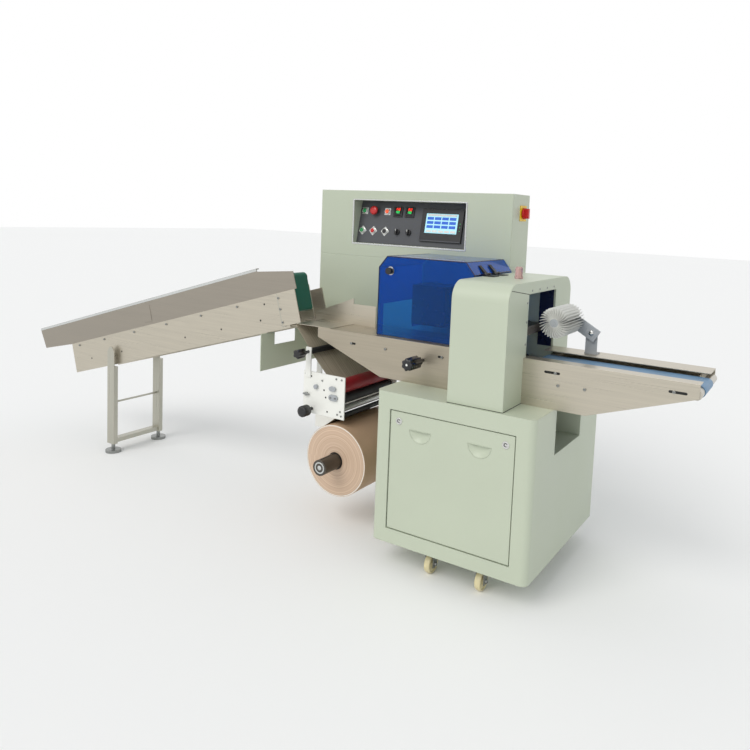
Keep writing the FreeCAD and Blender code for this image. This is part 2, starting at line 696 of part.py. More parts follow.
def infeed_conveyor():
    plates = [
        block(0, y, 0, "infeed_long", "sheet", "infeed_deep")
        for y in ("infeed_front", "infeed_back - sheet")
    ]
    near_cheek = block("infeed_long - 40", "infeed_front - 4", 13, 105, 4, "infeed_deep - 13")
    far_cheek = block("infeed_long - 40", "trough_back", 13, 58, 4, "infeed_deep + 7")
    node(sloping(group([fused([plates[0], near_cheek]), plates[1], far_cheek])), "infeed_frame")
    cross_bars = [
        block(x, "infeed_front + sheet", z, 40, "infeed_back - infeed_front - 2 * sheet", height)
        for places, z, height in (((200, 800, 1400), 15, 25), ((80, 800, 1400), "infeed_deep - 20", 20))
        for x in places
    ]
    node(sloping(group(cross_bars)), "infeed_cross_bars")
    near_wall = outline("XZ", [
        ("trough_tail + 22", "infeed_deep + 14"), (-8, "infeed_deep"),
        ("trough_head", "infeed_deep"), ("trough_head - 2", "trough_end"),
        ("trough_knee", "trough_top"), ("trough_tail", "trough_top"),
    ], 3)
    far_wall = outline("XZ", [
        ("trough_tail + 22", "infeed_deep + 14"), (-8, "infeed_deep"), ("infeed_long", "infeed_deep"),
        ("infeed_long - 2", "trough_end - 5"), ("trough_knee", "trough_top - 25"),
        ("trough_tail", "trough_top - 25"),
    ], 3)
    walls = [at(near_wall, 0, "infeed_front", 0), at(far_wall, 0, "trough_back - 3", 0)]
    bed = block(-205, "infeed_front", "belt_top - 6", 1805, "trough_back - infeed_front", 3)
    run = "trough_knee - trough_tail"
    lips = [
        block("trough_tail", "infeed_front", "trough_top", run, 3, 14),
        block("trough_tail", "infeed_front", "trough_top + 11", run, "trough_lip", 3),
    ]
    node(sloping(fused(walls + [bed] + lips)), "infeed_trough")


def belt(rollers, thickness, y, width):
    """A closed belt stretched round rollers, each given as (x, z, radius), in order."""
    band = stretched(rollers, thickness, y).cut(stretched(rollers, 0, y))
    return band.extrude(FreeCAD.Vector(0, width, 0))


def stretched(rollers, extra, y):
    """The flat face inside a band that lies round the rollers, taken clockwise."""
    edges = []
    arcs = []
    count = len(rollers)
    for k, (x1, z1, r1) in enumerate(rollers):
        x2, z2, r2 = rollers[(k + 1) % count]
        along = math.atan2(z2 - z1, x2 - x1)
        lean = math.asin((r1 - r2) / math.hypot(x2 - x1, z2 - z1))
        normal = along + math.pi / 2 - lean
        leave = (x1 + (r1 + extra) * math.cos(normal), z1 + (r1 + extra) * math.sin(normal))
        reach = (x2 + (r2 + extra) * math.cos(normal), z2 + (r2 + extra) * math.sin(normal))
        arcs.append((normal, leave, reach))
    for k, (normal, leave, reach) in enumerate(arcs):
        x, z, radius = rollers[k]
        before = arcs[k - 1][0]
        middle = normal + ((before - normal) % (2 * math.pi)) / 2
        top = (x + (radius + extra) * math.cos(middle), z + (radius + extra) * math.sin(middle))
        points = [FreeCAD.Vector(px, y, pz) for px, pz in (arcs[k - 1][2], top, leave)]
        edges.append(Part.Arc(*points).toShape())
        edges.append(Part.LineSegment(points[2], FreeCAD.Vector(reach[0], y, reach[1])).toShape())
    return Part.Face(Part.Wire(edges))


def infeed_belt():
    rollers = [(-235, 220.5, 20), (1633, 220.5, 20), (1641, 78, 10)]
    feature = DOCUMENT.addObject("Part::Feature", "belt")
    feature.Shape = belt(rollers, value_of("belt_thick"), 188, 137)
    node(sloping(feature), "infeed_belt")
    drums = []
    for (x, z, radius), wall in zip(rollers, (3, 3, 0)):
        width = f"trough_back - infeed_front - {2 * wall}"
        drums.append(bar("Y", x, f"infeed_front + {wall}", z, radius, width))
    node(sloping(group(drums)), "infeed_rollers")


def infeed_legs():
    """Two tubes outside the frame plates, each with a tongue that is bolted to its plate."""
    near = "infeed_front - leg_thick"
    left = "leg_x - leg_wide / 2"
    posts = [block(left, y, 45, "leg_wide", "leg_thick", 424) for y in (near, "infeed_back")]
    tongues = [
        at(outline("XZ", [
            ("-leg_wide / 2", 380), ("leg_wide / 2", 380), ("leg_wide / 2", 550),
            ("leg_wide / 5", 576), ("-leg_wide / 5", 576), ("-leg_wide / 2", 550),
        ], 4), "leg_x", y, 0)
        for y in (near, "infeed_back")
    ]
    spacer = block("leg_x - 8", f"{near} + 4", 520, 16, "leg_thick - 4", 16)
    sill = block("leg_x - 20", "infeed_front", 50, 40, "infeed_back - infeed_front", 22)
    rod = bar("Y", "leg_x", "infeed_front - 2", 270, 5, "infeed_back - infeed_front + 4")
    node(fused(posts + tongues + [spacer, sill, rod]), "infeed_legs")
    feet = [
        fused([bar("Z", "leg_x + 8", y, 0, "foot_radius", 14), block("leg_x + 1", f"{y} - 7", 10, 14, 14, 35)])
        for y in (f"{near} + leg_thick / 2", "infeed_back + leg_thick / 2")
    ]
    node(group(feet), "levelling_feet")
    wall = block("house_left", 143, "house_low", 4, "house_front - 143", 170)
    window = block("house_left - 1", 231, 726, 6, 144, 65)
    node(cut(wall, [window]), "infeed_support_plate")


def outfeed_conveyor():
    corners = [
        ("arch_right", "base_top"), ("outfeed_knee", "base_top"),
        ("outfeed_right", "outfeed_tip"), ("outfeed_right", "table_top"),
        ("arch_right", "table_top"),
    ]
    plates = [
        at(outline("XZ", corners, "sheet"), 0, y, 0)
        for y in ("table_front", "outfeed_back - sheet")
    ]
    flanges = [
        block("arch_right", y, "table_top", "outfeed_right - arch_right", width, 3)
        for y, width in (
            ("table_front", "lane_front - table_front"),
            ("lane_back", "outfeed_back - lane_back"),
        )
    ]
    ties = [
        block(x, "table_front", 740, 30, "outfeed_back - table_front", 25)
        for x in (-90, 80)
    ]
    bed = block(-70, "table_front", "lane_top - 6", 500, "outfeed_back - table_front", 3)
    node(fused(plates + flanges + ties + [bed]), "outfeed_frame")
    rollers = [(-100, "lane_top - 19.5", 17), (459.5, "lane_top - 19.5", 17)]
    turns = [(x, value_of(z), radius) for x, z, radius in rollers]
    feature = DOCUMENT.addObject("Part::Feature", "belt")
    feature.Shape = belt(turns, value_of("belt_thick"), value_of("lane_front + 1"), 150)
    node(feature, "outfeed_belt")
    node(group([
        bar("Y", x, "table_front + sheet", z, radius, "outfeed_back - table_front - 2 * sheet")
        for x, z, radius in rollers
    ]), "outfeed_rollers")


def brush():
    post = block("post_x - 22", 424, "table_top + 3", 44, 5, "post_z - table_top + 12")
    foot = block("post_x - 24", 424, "table_top + 3", 48, 40, 4)
    pivot = bar("Y", "post_x", 411, "post_z", 8, 20)
    node(fused([post, foot, pivot]), "brush_post")
    length = value_of("((post_x - brush_x)^2 + (post_z - brush_z)^2)^0.5")
    rise = math.degrees(math.atan2(value_of("brush_z - post_z"), value_of("brush_x - post_x")))
    plate = block(-26, 0, -25, length + 46, 5, 50)
    bore = bar("Y", 0, -1, 0, "8 + running_gap", 7)
    arm = turned(cut(plate, [bore]), Y_DOWN, rise, "post_x", 414, "post_z")
    axle = bar("Y", "brush_x", "brush_front - 4", "brush_z", 6, "419 - brush_front + 4")
    node(fused([arm, axle]), "brush_arm")
    hub = bar("Y", "brush_x", "brush_front", "brush_z", 24, "brush_back - brush_front")
    fins = []
    for k in range(20):
        fin = block(20, 0, -1, "brush_radius - 20", "brush_back - brush_front", 2)
        fins.append(turned(group([fin]), Y_DOWN, 18 * k, "brush_x", "brush_front", "brush_z"))
    bore = bar("Y", "brush_x", "brush_front - 1", "brush_z", "6 + running_gap", "brush_back - brush_front + 2")
    node(cut(fused([hub] + fins), [bore]), "brush_roller")


base_cabinet()
front_panel()
casters()
rear_housing()
control_cabinet()
control_panel()
main_switch()
end_seal_arch()
jaw("upper_sealing_jaw", JAW_HIGH)
jaw("lower_sealing_jaw", JAW_LOW)
safety_cover()
cover_hinges()
wrapping_table()
bag_former()
film_unit()
film_reel()
film_web()
infeed_conveyor()
infeed_belt()
infeed_legs()
outfeed_conveyor()
brush()
DOCUMENT.recompute()

failed = [o.Label for o in DOCUMENT.Objects if "Invalid" in o.State or "Error" in o.State]
if failed:
    raise RuntimeError(f"features that failed: {failed}")
os.makedirs("parts", exist_ok=True)
whole = FreeCAD.BoundBox()
for feature in NODES:
    shape = feature.Shape
    if shape.isNull() or not shape.isValid():
        raise RuntimeError(f"bad shape: {feature.Label}")
    shape.exportStep(f"parts/{feature.Label}.step")
    whole.add(shape.BoundBox)
print(len(NODES), "sub-parts", whole)
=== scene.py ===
# %% [markdown]
# # A horizontal flow wrapper, dressed for its portrait
# The machine comes from CAD as plain solids with the right sizes. This lesson gives them their
# paint, steel, rubber and acrylic, and adds the small things that a maker bolts on afterwards.
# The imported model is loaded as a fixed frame, so every new piece is placed from its boxes.

# %% Load the frame
import bmesh
import bpy
import math
import numpy as np
from mathutils import Matrix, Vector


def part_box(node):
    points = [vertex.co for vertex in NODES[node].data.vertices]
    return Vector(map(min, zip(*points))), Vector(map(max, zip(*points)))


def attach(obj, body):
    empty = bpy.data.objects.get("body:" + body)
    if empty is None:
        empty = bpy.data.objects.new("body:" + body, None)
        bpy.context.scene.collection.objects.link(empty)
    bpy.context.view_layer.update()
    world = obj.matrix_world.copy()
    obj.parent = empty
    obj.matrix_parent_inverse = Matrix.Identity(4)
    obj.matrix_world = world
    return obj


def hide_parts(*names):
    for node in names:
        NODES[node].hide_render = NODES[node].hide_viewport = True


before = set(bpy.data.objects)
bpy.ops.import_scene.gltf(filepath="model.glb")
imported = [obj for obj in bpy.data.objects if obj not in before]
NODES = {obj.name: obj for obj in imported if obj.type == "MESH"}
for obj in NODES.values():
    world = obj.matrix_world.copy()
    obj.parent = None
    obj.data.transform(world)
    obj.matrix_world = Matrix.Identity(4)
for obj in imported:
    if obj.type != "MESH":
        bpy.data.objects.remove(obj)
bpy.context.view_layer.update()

# %% [markdown]
# ## One datum for all places
# A fitter measures from one corner of the machine. Ours is the floor point under the base
# cabinet's front right corner, read from the cabinet's box. Millimetres are easier to read on
# a machine, so the helper turns a place in millimetres into metres in the frame.

# %% The datum
MM = 0.001
base_low, base_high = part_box("base_cabinet")
DATUM = np.array([base_high.x, base_low.y, 0.0])


def place(points):
    """Points in millimetres from the datum, as an array of metres in the frame."""
    return np.asarray(points, float) * MM + DATUM


def limits(node):
    """Lowest and highest corner of a CAD node, in millimetres from the datum."""
    low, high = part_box(node)
    return (np.array(low) - DATUM) / MM, (np.array(high) - DATUM) / MM


print("datum", DATUM.round(4))

# %% [markdown]
# ## The camera
# Such a machine is best seen from its delivery end at chest height, turned about thirty
# degrees, through a normal lens. The camera is set from a position and three small angles,
# and the lens is shifted a little, which slides the frame without tilting the uprights.

# %% The camera
EYE = np.array([2.1232, -2.5196, 1.348])
YAW, PITCH, ROLL = 0.5517, -0.0922, 0.0421


def camera_axes(yaw, pitch, roll):
    """Right, up and forward of a camera turned by yaw about Z, raised by pitch, then rolled."""
    forward = np.array([
        -math.sin(yaw) * math.cos(pitch), math.cos(yaw) * math.cos(pitch), math.sin(pitch),
    ])
    level = np.array([math.cos(yaw), math.sin(yaw), 0.0])
    upright = np.cross(level, forward)
    right = math.cos(roll) * level + math.sin(roll) * upright
    up = -math.sin(roll) * level + math.cos(roll) * upright
    return right, up, forward


right, up, forward = camera_axes(YAW, PITCH, ROLL)
lens = bpy.data.cameras.new("camera")
lens.sensor_width = 36.0
lens.lens = 33.42
lens.shift_x = -0.0405
lens.shift_y = -0.1287
lens.clip_end = 100.0
camera = bpy.data.objects.new("camera", lens)
bpy.context.scene.collection.objects.link(camera)
camera.matrix_world = Matrix((
    (right[0], up[0], -forward[0], EYE[0]),
    (right[1], up[1], -forward[1], EYE[1]),
    (right[2], up[2], -forward[2], EYE[2]),
    (0, 0, 0, 1),
))
bpy.context.scene.camera = camera
bpy.context.scene.view_settings.view_transform = "Standard"

# %% [markdown]
# ## Floor and light
# The machine stands on a plain white floor in soft studio light. A large weak sun gives the
# shapes a lit and a shaded side, and the world fills the rest. Rays that come straight from the
# camera, or by a reflection or through glass, see the world as plain white, so the backdrop is
# clean while the light on the machine stays level.

# %% Floor and light
FILL = 0.72
KEY = 1.2


def seen_white(tree, dull, light_path):
    """A node that is 1 where a ray comes from the camera, a reflection or a refraction."""
    first = tree.nodes.new("ShaderNodeMath")
    first.operation = "MAXIMUM"
    second = tree.nodes.new("ShaderNodeMath")
    second.operation = "MAXIMUM"
    tree.links.new(light_path.outputs["Is Camera Ray"], first.inputs[0])
    tree.links.new(light_path.outputs["Is Glossy Ray"], first.inputs[1])
    tree.links.new(first.outputs[0], second.inputs[0])
    tree.links.new(light_path.outputs["Is Transmission Ray"], second.inputs[1])
    mix = tree.nodes.new("ShaderNodeMixShader")
    tree.links.new(second.outputs[0], mix.inputs[0])
    tree.links.new(dull.outputs[0], mix.inputs[1])
    return mix


world = bpy.data.worlds.new("studio")
world.use_nodes = True
tree = world.node_tree
tree.nodes.clear()
fill = tree.nodes.new("ShaderNodeBackground")
fill.inputs["Color"].default_value = (0.97, 0.99, 1.0, 1)
fill.inputs["Strength"].default_value = FILL
white = tree.nodes.new("ShaderNodeBackground")
white.inputs["Color"].default_value = (1, 1, 1, 1)
white.inputs["Strength"].default_value = 1.0
mix = seen_white(tree, fill, tree.nodes.new("ShaderNodeLightPath"))
tree.links.new(white.outputs[0], mix.inputs[2])
out = tree.nodes.new("ShaderNodeOutputWorld")
tree.links.new(mix.outputs[0], out.inputs["Surface"])
bpy.context.scene.world = world

sun = bpy.data.lights.new("key", "SUN")
sun.energy = KEY
sun.angle = math.radians(35)
sun.color = (1.0, 0.98, 0.95)
key = bpy.data.objects.new("key", sun)
key.rotation_euler = (math.radians(48), 0, math.radians(-12))
bpy.context.scene.collection.objects.link(key)

floor_mesh = bpy.data.meshes.new("floor")
SIDE = 30.0
corners = np.array([(-SIDE, -SIDE, 0), (SIDE, -SIDE, 0), (SIDE, SIDE, 0), (-SIDE, SIDE, 0)])
floor_mesh.from_pydata(corners, [], [(0, 1, 2, 3)])
floor = bpy.data.objects.new("floor", floor_mesh)
bpy.context.scene.collection.objects.link(floor)
ground = bpy.data.materials.new("floor")
ground.use_nodes = True
ground.node_tree.nodes["Principled BSDF"].inputs["Base Color"].default_value = (0.93, 0.93, 0.93, 1)
ground.node_tree.nodes["Principled BSDF"].inputs["Roughness"].default_value = 0.9
floor_mesh.materials.append(ground)

# %% [markdown]
# ## Shared surface effects
# No real surface is one flat colour. Powder coat has an orange-peel skin and faint clouds of
# dust, rolled steel has grain along its length, and rubber is scuffed. Two node groups make
# these once: one gives clouds and a fine skin, one gives drawn-out grain. A third rounds
# corners in the shading, because CAD leaves every edge knife sharp.

# %% Node groups
def new_group(name, inputs, outputs):
    """An empty shader group with named float sockets; an output named Normal is a vector."""
    group = bpy.data.node_groups.new(name, "ShaderNodeTree")
    for label, value in inputs:
        socket = group.interface.new_socket(label, in_out="INPUT", socket_type="NodeSocketFloat")
        socket.default_value = value
    for label in outputs:
        kind = "NodeSocketVector" if label == "Normal" else "NodeSocketFloat"
        group.interface.new_socket(label, in_out="OUTPUT", socket_type=kind)
    return group, group.nodes.new("NodeGroupInput"), group.nodes.new("NodeGroupOutput")


def math_node(tree, operation, *values):
    """A math node fed by sockets or plain numbers."""
    node = tree.nodes.new("ShaderNodeMath")
    node.operation = operation
    for socket, value in zip(node.inputs, values):
        if isinstance(value, (int, float)):
            socket.default_value = value
        else:
            tree.links.new(value, socket)
    return node.outputs[0]


def noise(tree, vector, scale, detail=3.0, rough=0.5):
    """A noise texture's value, with its scale given as a socket or a plain number."""
    node = tree.nodes.new("ShaderNodeTexNoise")
    node.inputs["Detail"].default_value = detail
    node.inputs["Roughness"].default_value = rough
    tree.links.new(vector, node.inputs["Vector"])
    if isinstance(scale, (int, float)):
        node.inputs["Scale"].default_value = scale
    else:
        tree.links.new(scale, node.inputs["Scale"])
    return node.outputs["Fac"]


def build_skin():
    """Clouds = noise of a few per metre; Skin = noise of many hundred per metre."""
    group, given, result = new_group(
        "skin", [("Cloud Scale", 3.0), ("Skin Scale", 700.0)], ["Clouds", "Skin"],
    )
    spot = group.nodes.new("ShaderNodeTexCoord").outputs["Object"]
    group.links.new(noise(group, spot, given.outputs["Cloud Scale"], 4.0), result.inputs["Clouds"])
    group.links.new(noise(group, spot, given.outputs["Skin Scale"], 1.0), result.inputs["Skin"])
    return group


def build_grain():
    """Grain = noise squeezed across one axis, so that it draws out into lines along it."""
    group, given, result = new_group(
        "grain", [("Along X", 6.0), ("Along Y", 300.0), ("Along Z", 300.0)], ["Grain", "Clouds"],
    )
    spot = group.nodes.new("ShaderNodeTexCoord").outputs["Object"]
    stretch = group.nodes.new("ShaderNodeVectorMath")
    stretch.operation = "MULTIPLY"
    scales = group.nodes.new("ShaderNodeCombineXYZ")
    for axis in "XYZ":
        group.links.new(given.outputs[f"Along {axis}"], scales.inputs[axis])
    group.links.new(spot, stretch.inputs[0])
    group.links.new(scales.outputs[0], stretch.inputs[1])
    group.links.new(noise(group, stretch.outputs[0], 1.0, 2.0), result.inputs["Grain"])
    group.links.new(noise(group, spot, 2.5, 3.0), result.inputs["Clouds"])
    return group


def build_soft_edge():
    """Normal = the surface normal blended round corners within Radius; Edge = how near one is."""
    group, given, result = new_group("soft edge", [("Radius", 0.003)], ["Normal", "Edge"])
    bevel = group.nodes.new("ShaderNodeBevel")
    bevel.samples = 4
    group.links.new(given.outputs["Radius"], bevel.inputs["Radius"])
    facing = group.nodes.new("ShaderNodeNewGeometry")
    dot = group.nodes.new("ShaderNodeVectorMath")
    dot.operation = "DOT_PRODUCT"
    group.links.new(bevel.outputs[0], dot.inputs[0])
    group.links.new(facing.outputs["Normal"], dot.inputs[1])
    group.links.new(bevel.outputs[0], result.inputs["Normal"])
    edge = math_node(group, "SUBTRACT", 1.0, dot.outputs["Value"])
    group.links.new(math_node(group, "MULTIPLY", edge, 4.0), result.inputs["Edge"])
    return group


SKIN, GRAIN, SOFT_EDGE = build_skin(), build_grain(), build_soft_edge()
print("node groups:", [g.name for g in (SKIN, GRAIN, SOFT_EDGE)])

# %% [markdown]
# ## One recipe for a finish
# Every finish below is the same recipe with other numbers: two close colours mixed by clouds or
# grain, a roughness that follows the same mask, a fine bump, and rounded corners that catch the
# light, which some finishes lighten further with a painted highlight.
# Values that are the same all over stay on the shader's own sockets.

# %% The recipe
def srgb(*values):
    """Linear light of a colour given as 0 to 255 screen values."""
    v = np.array(values, float) / 255.0
    linear = np.where(v <= 0.04045, v / 12.92, ((v + 0.055) / 1.055) ** 2.4)
    return (*linear, 1.0)


def shade(color, factor):
    """The same colour, lighter or darker."""
    return (*(min(c * factor, 1.0) for c in color[:3]), 1.0)


def mix_colors(tree, fac, first, second):
    """A mix node of two colours, each a socket or four numbers."""
    node = tree.nodes.new("ShaderNodeMix")
    node.data_type = "RGBA"
    tree.links.new(fac, node.inputs[0])
    for socket, value in ((node.inputs[6], first), (node.inputs[7], second)):
        if isinstance(value, tuple):
            socket.default_value = value
        else:
            tree.links.new(value, socket)
    return node.outputs[2]


def span(tree, fac, low, high):
    """Maps 0.3 to 0.7 of a mask to a range."""
    node = tree.nodes.new("ShaderNodeMapRange")
    tree.links.new(fac, node.inputs["Value"])
    values = ("From Min", 0.3), ("From Max", 0.7), ("To Min", low), ("To Max", high)
    for label, value in values:
        node.inputs[label].default_value = value
    return node.outputs["Result"]


def finish(name, color, rough, metal=0.0, vary=0.06, cloud=3.0, skin=700.0, bump=0.02,
           grain=None, edge=0.002, painted_edge_highlight=0.0, coat=0.0, through=0.0, glow=None, ior=1.5):
    """A Principled material whose colour and roughness follow clouds, or grain if it is given.

    grain is three scales, the smallest along the drawn direction. edge rounds corners in the
    shading; the highlight argument lightens their colour, a painted highlight. glow is a colour
    and strength of its own light.
    """
    material = bpy.data.materials.new(name)
    material.use_nodes = True
    tree = material.node_tree
    shader = tree.nodes["Principled BSDF"]
    effect = tree.nodes.new("ShaderNodeGroup")
    effect.node_tree = GRAIN if grain else SKIN
    if grain:
        for axis, value in zip("XYZ", grain):
            effect.inputs[f"Along {axis}"].default_value = value
        fine = effect.outputs["Grain"]
    else:
        effect.inputs["Cloud Scale"].default_value = cloud
        effect.inputs["Skin Scale"].default_value = skin
        fine = effect.outputs["Skin"]
    mask = fine if grain else effect.outputs["Clouds"]
    tint = mix_colors(tree, span(tree, mask, 0, 1), shade(color, 1 - vary), shade(color, 1 + vary))
    corner = tree.nodes.new("ShaderNodeGroup")
    corner.node_tree = SOFT_EDGE
    corner.inputs["Radius"].default_value = edge
    # Corners near an edge are lightened in colour here: a painted highlight.
    if painted_edge_highlight:
        strength = math_node(tree, "MULTIPLY", corner.outputs["Edge"], painted_edge_highlight)
        strength = math_node(tree, "MINIMUM", strength, 1.0)
        tint = mix_colors(tree, strength, tint, shade(color, 1.35))
    tree.links.new(tint, shader.inputs["Base Color"])
    spread = rough * 0.25
    tree.links.new(span(tree, mask, rough - spread, rough + spread), shader.inputs["Roughness"])
    relief = tree.nodes.new("ShaderNodeBump")
    relief.inputs["Distance"].default_value = 0.001
    relief.inputs["Strength"].default_value = bump
    tree.links.new(fine, relief.inputs["Height"])
    tree.links.new(corner.outputs["Normal"], relief.inputs["Normal"])
    tree.links.new(relief.outputs[0], shader.inputs["Normal"])
    shader.inputs["Metallic"].default_value = metal
    shader.inputs["Coat Weight"].default_value = coat
    shader.inputs["Transmission Weight"].default_value = through
    shader.inputs["IOR"].default_value = ior
    if glow:
        shader.inputs["Emission Color"].default_value = glow[0]
        shader.inputs["Emission Strength"].default_value = glow[1]
    return material


# %% [markdown]
# ## The finishes
# The housings are powder coated in a pale green-grey; chutes and side plates are brushed
# stainless, the guard is deep blue acrylic, the film unit is white, and belts are coloured PVC.

# %% The finishes
# The paint's corners carry a painted highlight.
paint = finish("green_grey_paint", srgb(190, 198, 178), 0.38, vary=0.018, bump=0.05, edge=0.004,
    painted_edge_highlight=0.5)
steel_x = finish("steel_brushed_along", srgb(196, 189, 174), 0.36, metal=0.85, vary=0.05,
    grain=(4, 260, 260), bump=0.06, edge=0.0012)
steel_y = finish("steel_brushed_across", srgb(196, 192, 182), 0.34, metal=0.85, vary=0.05,
    grain=(260, 4, 260), bump=0.06, edge=0.0012)
steel_z = finish("steel_brushed_upright", srgb(186, 184, 172), 0.36, metal=0.8, vary=0.05,
    grain=(260, 260, 4), bump=0.06, edge=0.0012)
chrome = finish("chrome", srgb(215, 215, 212), 0.12, metal=1.0, vary=0.03, bump=0.0, edge=0.0008)
zinc = finish("zinc_plate", srgb(150, 152, 150), 0.35, metal=0.9, vary=0.08, cloud=25, bump=0.05)
dark_steel = finish("dark_steel", srgb(92, 88, 82), 0.38, metal=0.9, vary=0.1, grain=(200, 5, 200),
    bump=0.06)
black_metal = finish("black_metal", srgb(26, 27, 29), 0.42, metal=0.3, vary=0.1, cloud=20)
black_plastic = finish("black_plastic", srgb(20, 20, 23), 0.32, vary=0.12, cloud=30, bump=0.03,
    coat=0.2)
black_rubber = finish("black_rubber", srgb(30, 31, 33), 0.55, vary=0.12, cloud=18, bump=0.08)
cream_nylon = finish("cream_nylon", srgb(222, 210, 168), 0.4, vary=0.04, cloud=30)
panel_grey = finish("dark_panel_sheet", srgb(74, 76, 80), 0.42, vary=0.04, cloud=8, bump=0.06)
white_paint = finish("white_plate_paint", srgb(238, 238, 232), 0.35, vary=0.012, bump=0.03,
    edge=0.0015)
red_plastic = finish("red_plastic", srgb(196, 24, 26), 0.3, vary=0.06, cloud=30, coat=0.3)
yellow_plastic = finish("yellow_plastic", srgb(240, 198, 30), 0.35, vary=0.04, cloud=30)
green_lamp = finish("green_lens", srgb(30, 150, 84), 0.2, vary=0.08, cloud=60, coat=0.5)
amber_lamp = finish("amber_lens", srgb(226, 84, 40), 0.2, vary=0.08, cloud=60, coat=0.5,
    glow=(srgb(255, 96, 30), 0.35))
red_silicone = finish("red_silicone", srgb(150, 22, 34), 0.45, vary=0.07, cloud=14, bump=0.05)
aluminium = finish("turned_aluminium", srgb(190, 190, 190), 0.3, metal=0.9, vary=0.04,
    grain=(400, 6, 400), bump=0.04)
green_belt = finish("green_belt", srgb(18, 92, 74), 0.5, vary=0.08, cloud=12, bump=0.15, skin=900)
blue_belt = finish("blue_belt", srgb(104, 140, 172), 0.45, vary=0.06, cloud=12, bump=0.12, skin=900)
grey_paint = finish("grey_paint", srgb(168, 172, 176), 0.42, vary=0.03, bump=0.05)
white_nylon = finish("white_nylon", srgb(240, 240, 236), 0.5, vary=0.03, cloud=40)
blue_acrylic = finish("blue_acrylic", srgb(44, 138, 232), 0.04, vary=0.02, bump=0.0, edge=0.0006,
    through=0.9, ior=1.25)
film_clear = finish("brown_tinted_film", srgb(178, 168, 148), 0.3, vary=0.05, grain=(4, 160, 4),
    bump=0.01, edge=0.0005)
steel_trough = finish("steel_trough_sheet", srgb(158, 151, 140), 0.42, metal=0.8, vary=0.05,
    grain=(3, 240, 240), bump=0.06, edge=0.0012)
steel_table = finish("steel_table_sheet", srgb(176, 167, 150), 0.4, metal=0.8, vary=0.06,
    grain=(4, 240, 240), bump=0.06, edge=0.0012)
navy = finish("navy_edge", srgb(16, 24, 62), 0.3, vary=0.08, cloud=20, coat=0.3)
silver = finish("silver_trim", srgb(206, 208, 206), 0.25, metal=0.8, vary=0.03, bump=0.02,
    edge=0.0008)
gap_black = finish("gap_in_shadow", srgb(24, 25, 24), 0.8, vary=0.05, cloud=20)
kraft = finish("wound_kraft_film", srgb(196, 164, 134), 0.45, vary=0.06, cloud=9, bump=0.05)

DRESS = {
    paint: ["base_cabinet", "base_front_panel", "rear_housing", "control_cabinet",
            "end_seal_housing", "infeed_support_plate"],
    zinc: ["caster_forks", "levelling_feet"],
    cream_nylon: ["caster_wheel_front_left", "caster_wheel_front_right",
                  "caster_wheel_rear_left", "caster_wheel_rear_right"],
    panel_grey: ["control_panel"],
    black_plastic: ["touch_screen", "temperature_controllers", "push_buttons",
                    "selector_switches", "cover_knob", "table_hand_knob",
                    "film_tension_knob", "film_guide_star_knob", "film_drive_unit"],
    green_lamp: ["pilot_lamps"],
    red_plastic: ["emergency_stop_button", "main_switch_handle"],
    yellow_plastic: ["main_switch_plate"],
    blue_acrylic: ["safety_cover"],
    black_metal: ["cover_hinge_leaves", "hinge_brackets"],
    dark_steel: ["upper_sealing_jaw", "lower_sealing_jaw", "film_mandrel"],
    steel_x: ["bag_former", "product_guide", "infeed_frame", "infeed_cross_bars", "outfeed_frame"],
    steel_trough: ["infeed_trough"],
    steel_table: ["wrapping_table"],
    steel_y: ["infeed_rollers", "outfeed_rollers"],
    steel_z: ["infeed_legs"],
    white_paint: ["film_unit_frame", "film_roll_bracket"],
    black_rubber: ["film_guide_roller", "feed_nip_roller", "black_web_roller"],
    red_silicone: ["red_feed_roller"],
    aluminium: ["aluminium_web_roller"],
    kraft: ["film_roll"],
    film_clear: ["film_web"],
    green_belt: ["infeed_belt"],
    blue_belt: ["outfeed_belt"],
    grey_paint: ["brush_post", "brush_arm"],
    white_nylon: ["brush_roller"],
}
for material, names in DRESS.items():
    for name in names:
        NODES[name].data.materials.clear()
        NODES[name].data.materials.append(material)
print("dressed", sum(len(names) for names in DRESS.values()), "of", len(NODES), "nodes")

# %% [markdown]
# ## Making shapes from formulas
# Every added piece is a surface worked out from two parameters on a grid: a profile turned
# round an axis, a section carried along a path, or an outline given a thickness. NumPy finds
# all points at once, and each maker returns its points and faces, so several shapes can be
# joined into one piece. Turning a profile suits knobs, bolts and rollers; outlines suit plates.

# %% Shape makers
AXES = {
    "X": np.array([(0, 1, 0), (0, 0, 1), (1, 0, 0)], float),
    "Y": np.array([(0, 0, 1), (1, 0, 0), (0, 1, 0)], float),
    "Z": np.array([(1, 0, 0), (0, 1, 0), (0, 0, 1)], float),
    "-X": np.array([(0, 0, 1), (0, 1, 0), (-1, 0, 0)], float),
    "-Y": np.array([(1, 0, 0), (0, 0, 1), (0, -1, 0)], float),
    "-Z": np.array([(0, 1, 0), (1, 0, 0), (0, 0, -1)], float),
}


def grid_faces(rows, columns, close_rows=False, close_columns=False):
    """Quads between neighbours of a grid of points, wrapped round where it is closed."""
    r = np.arange(rows if close_rows else rows - 1)
    c = np.arange(columns if close_columns else columns - 1)
    r, c = np.meshgrid(r, c, indexing="ij")
    r2, c2 = (r + 1) % rows, (c + 1) % columns
    quads = np.stack([r * columns + c, r * columns + c2, r2 * columns + c2, r2 * columns + c], -1)
    return quads.reshape(-1, 4).tolist()


def turned(profile, centre, axis, segments=40):
    """A profile of (radius, height) turned round an axis: r cos t, r sin t, h for each t."""
    profile = np.array(profile, float)
    t = np.linspace(0, 2 * math.pi, segments, endpoint=False)
    ring = np.stack([np.cos(t), np.sin(t)], -1)
    flat = profile[:, None, :1] * ring[None]
    height = np.broadcast_to(profile[:, None, 1:], (len(profile), segments, 1))
    local = np.concatenate([flat, height], -1).reshape(-1, 3)
    return local @ AXES[axis] + np.array(centre, float), grid_faces(len(profile), segments, False,
        True)


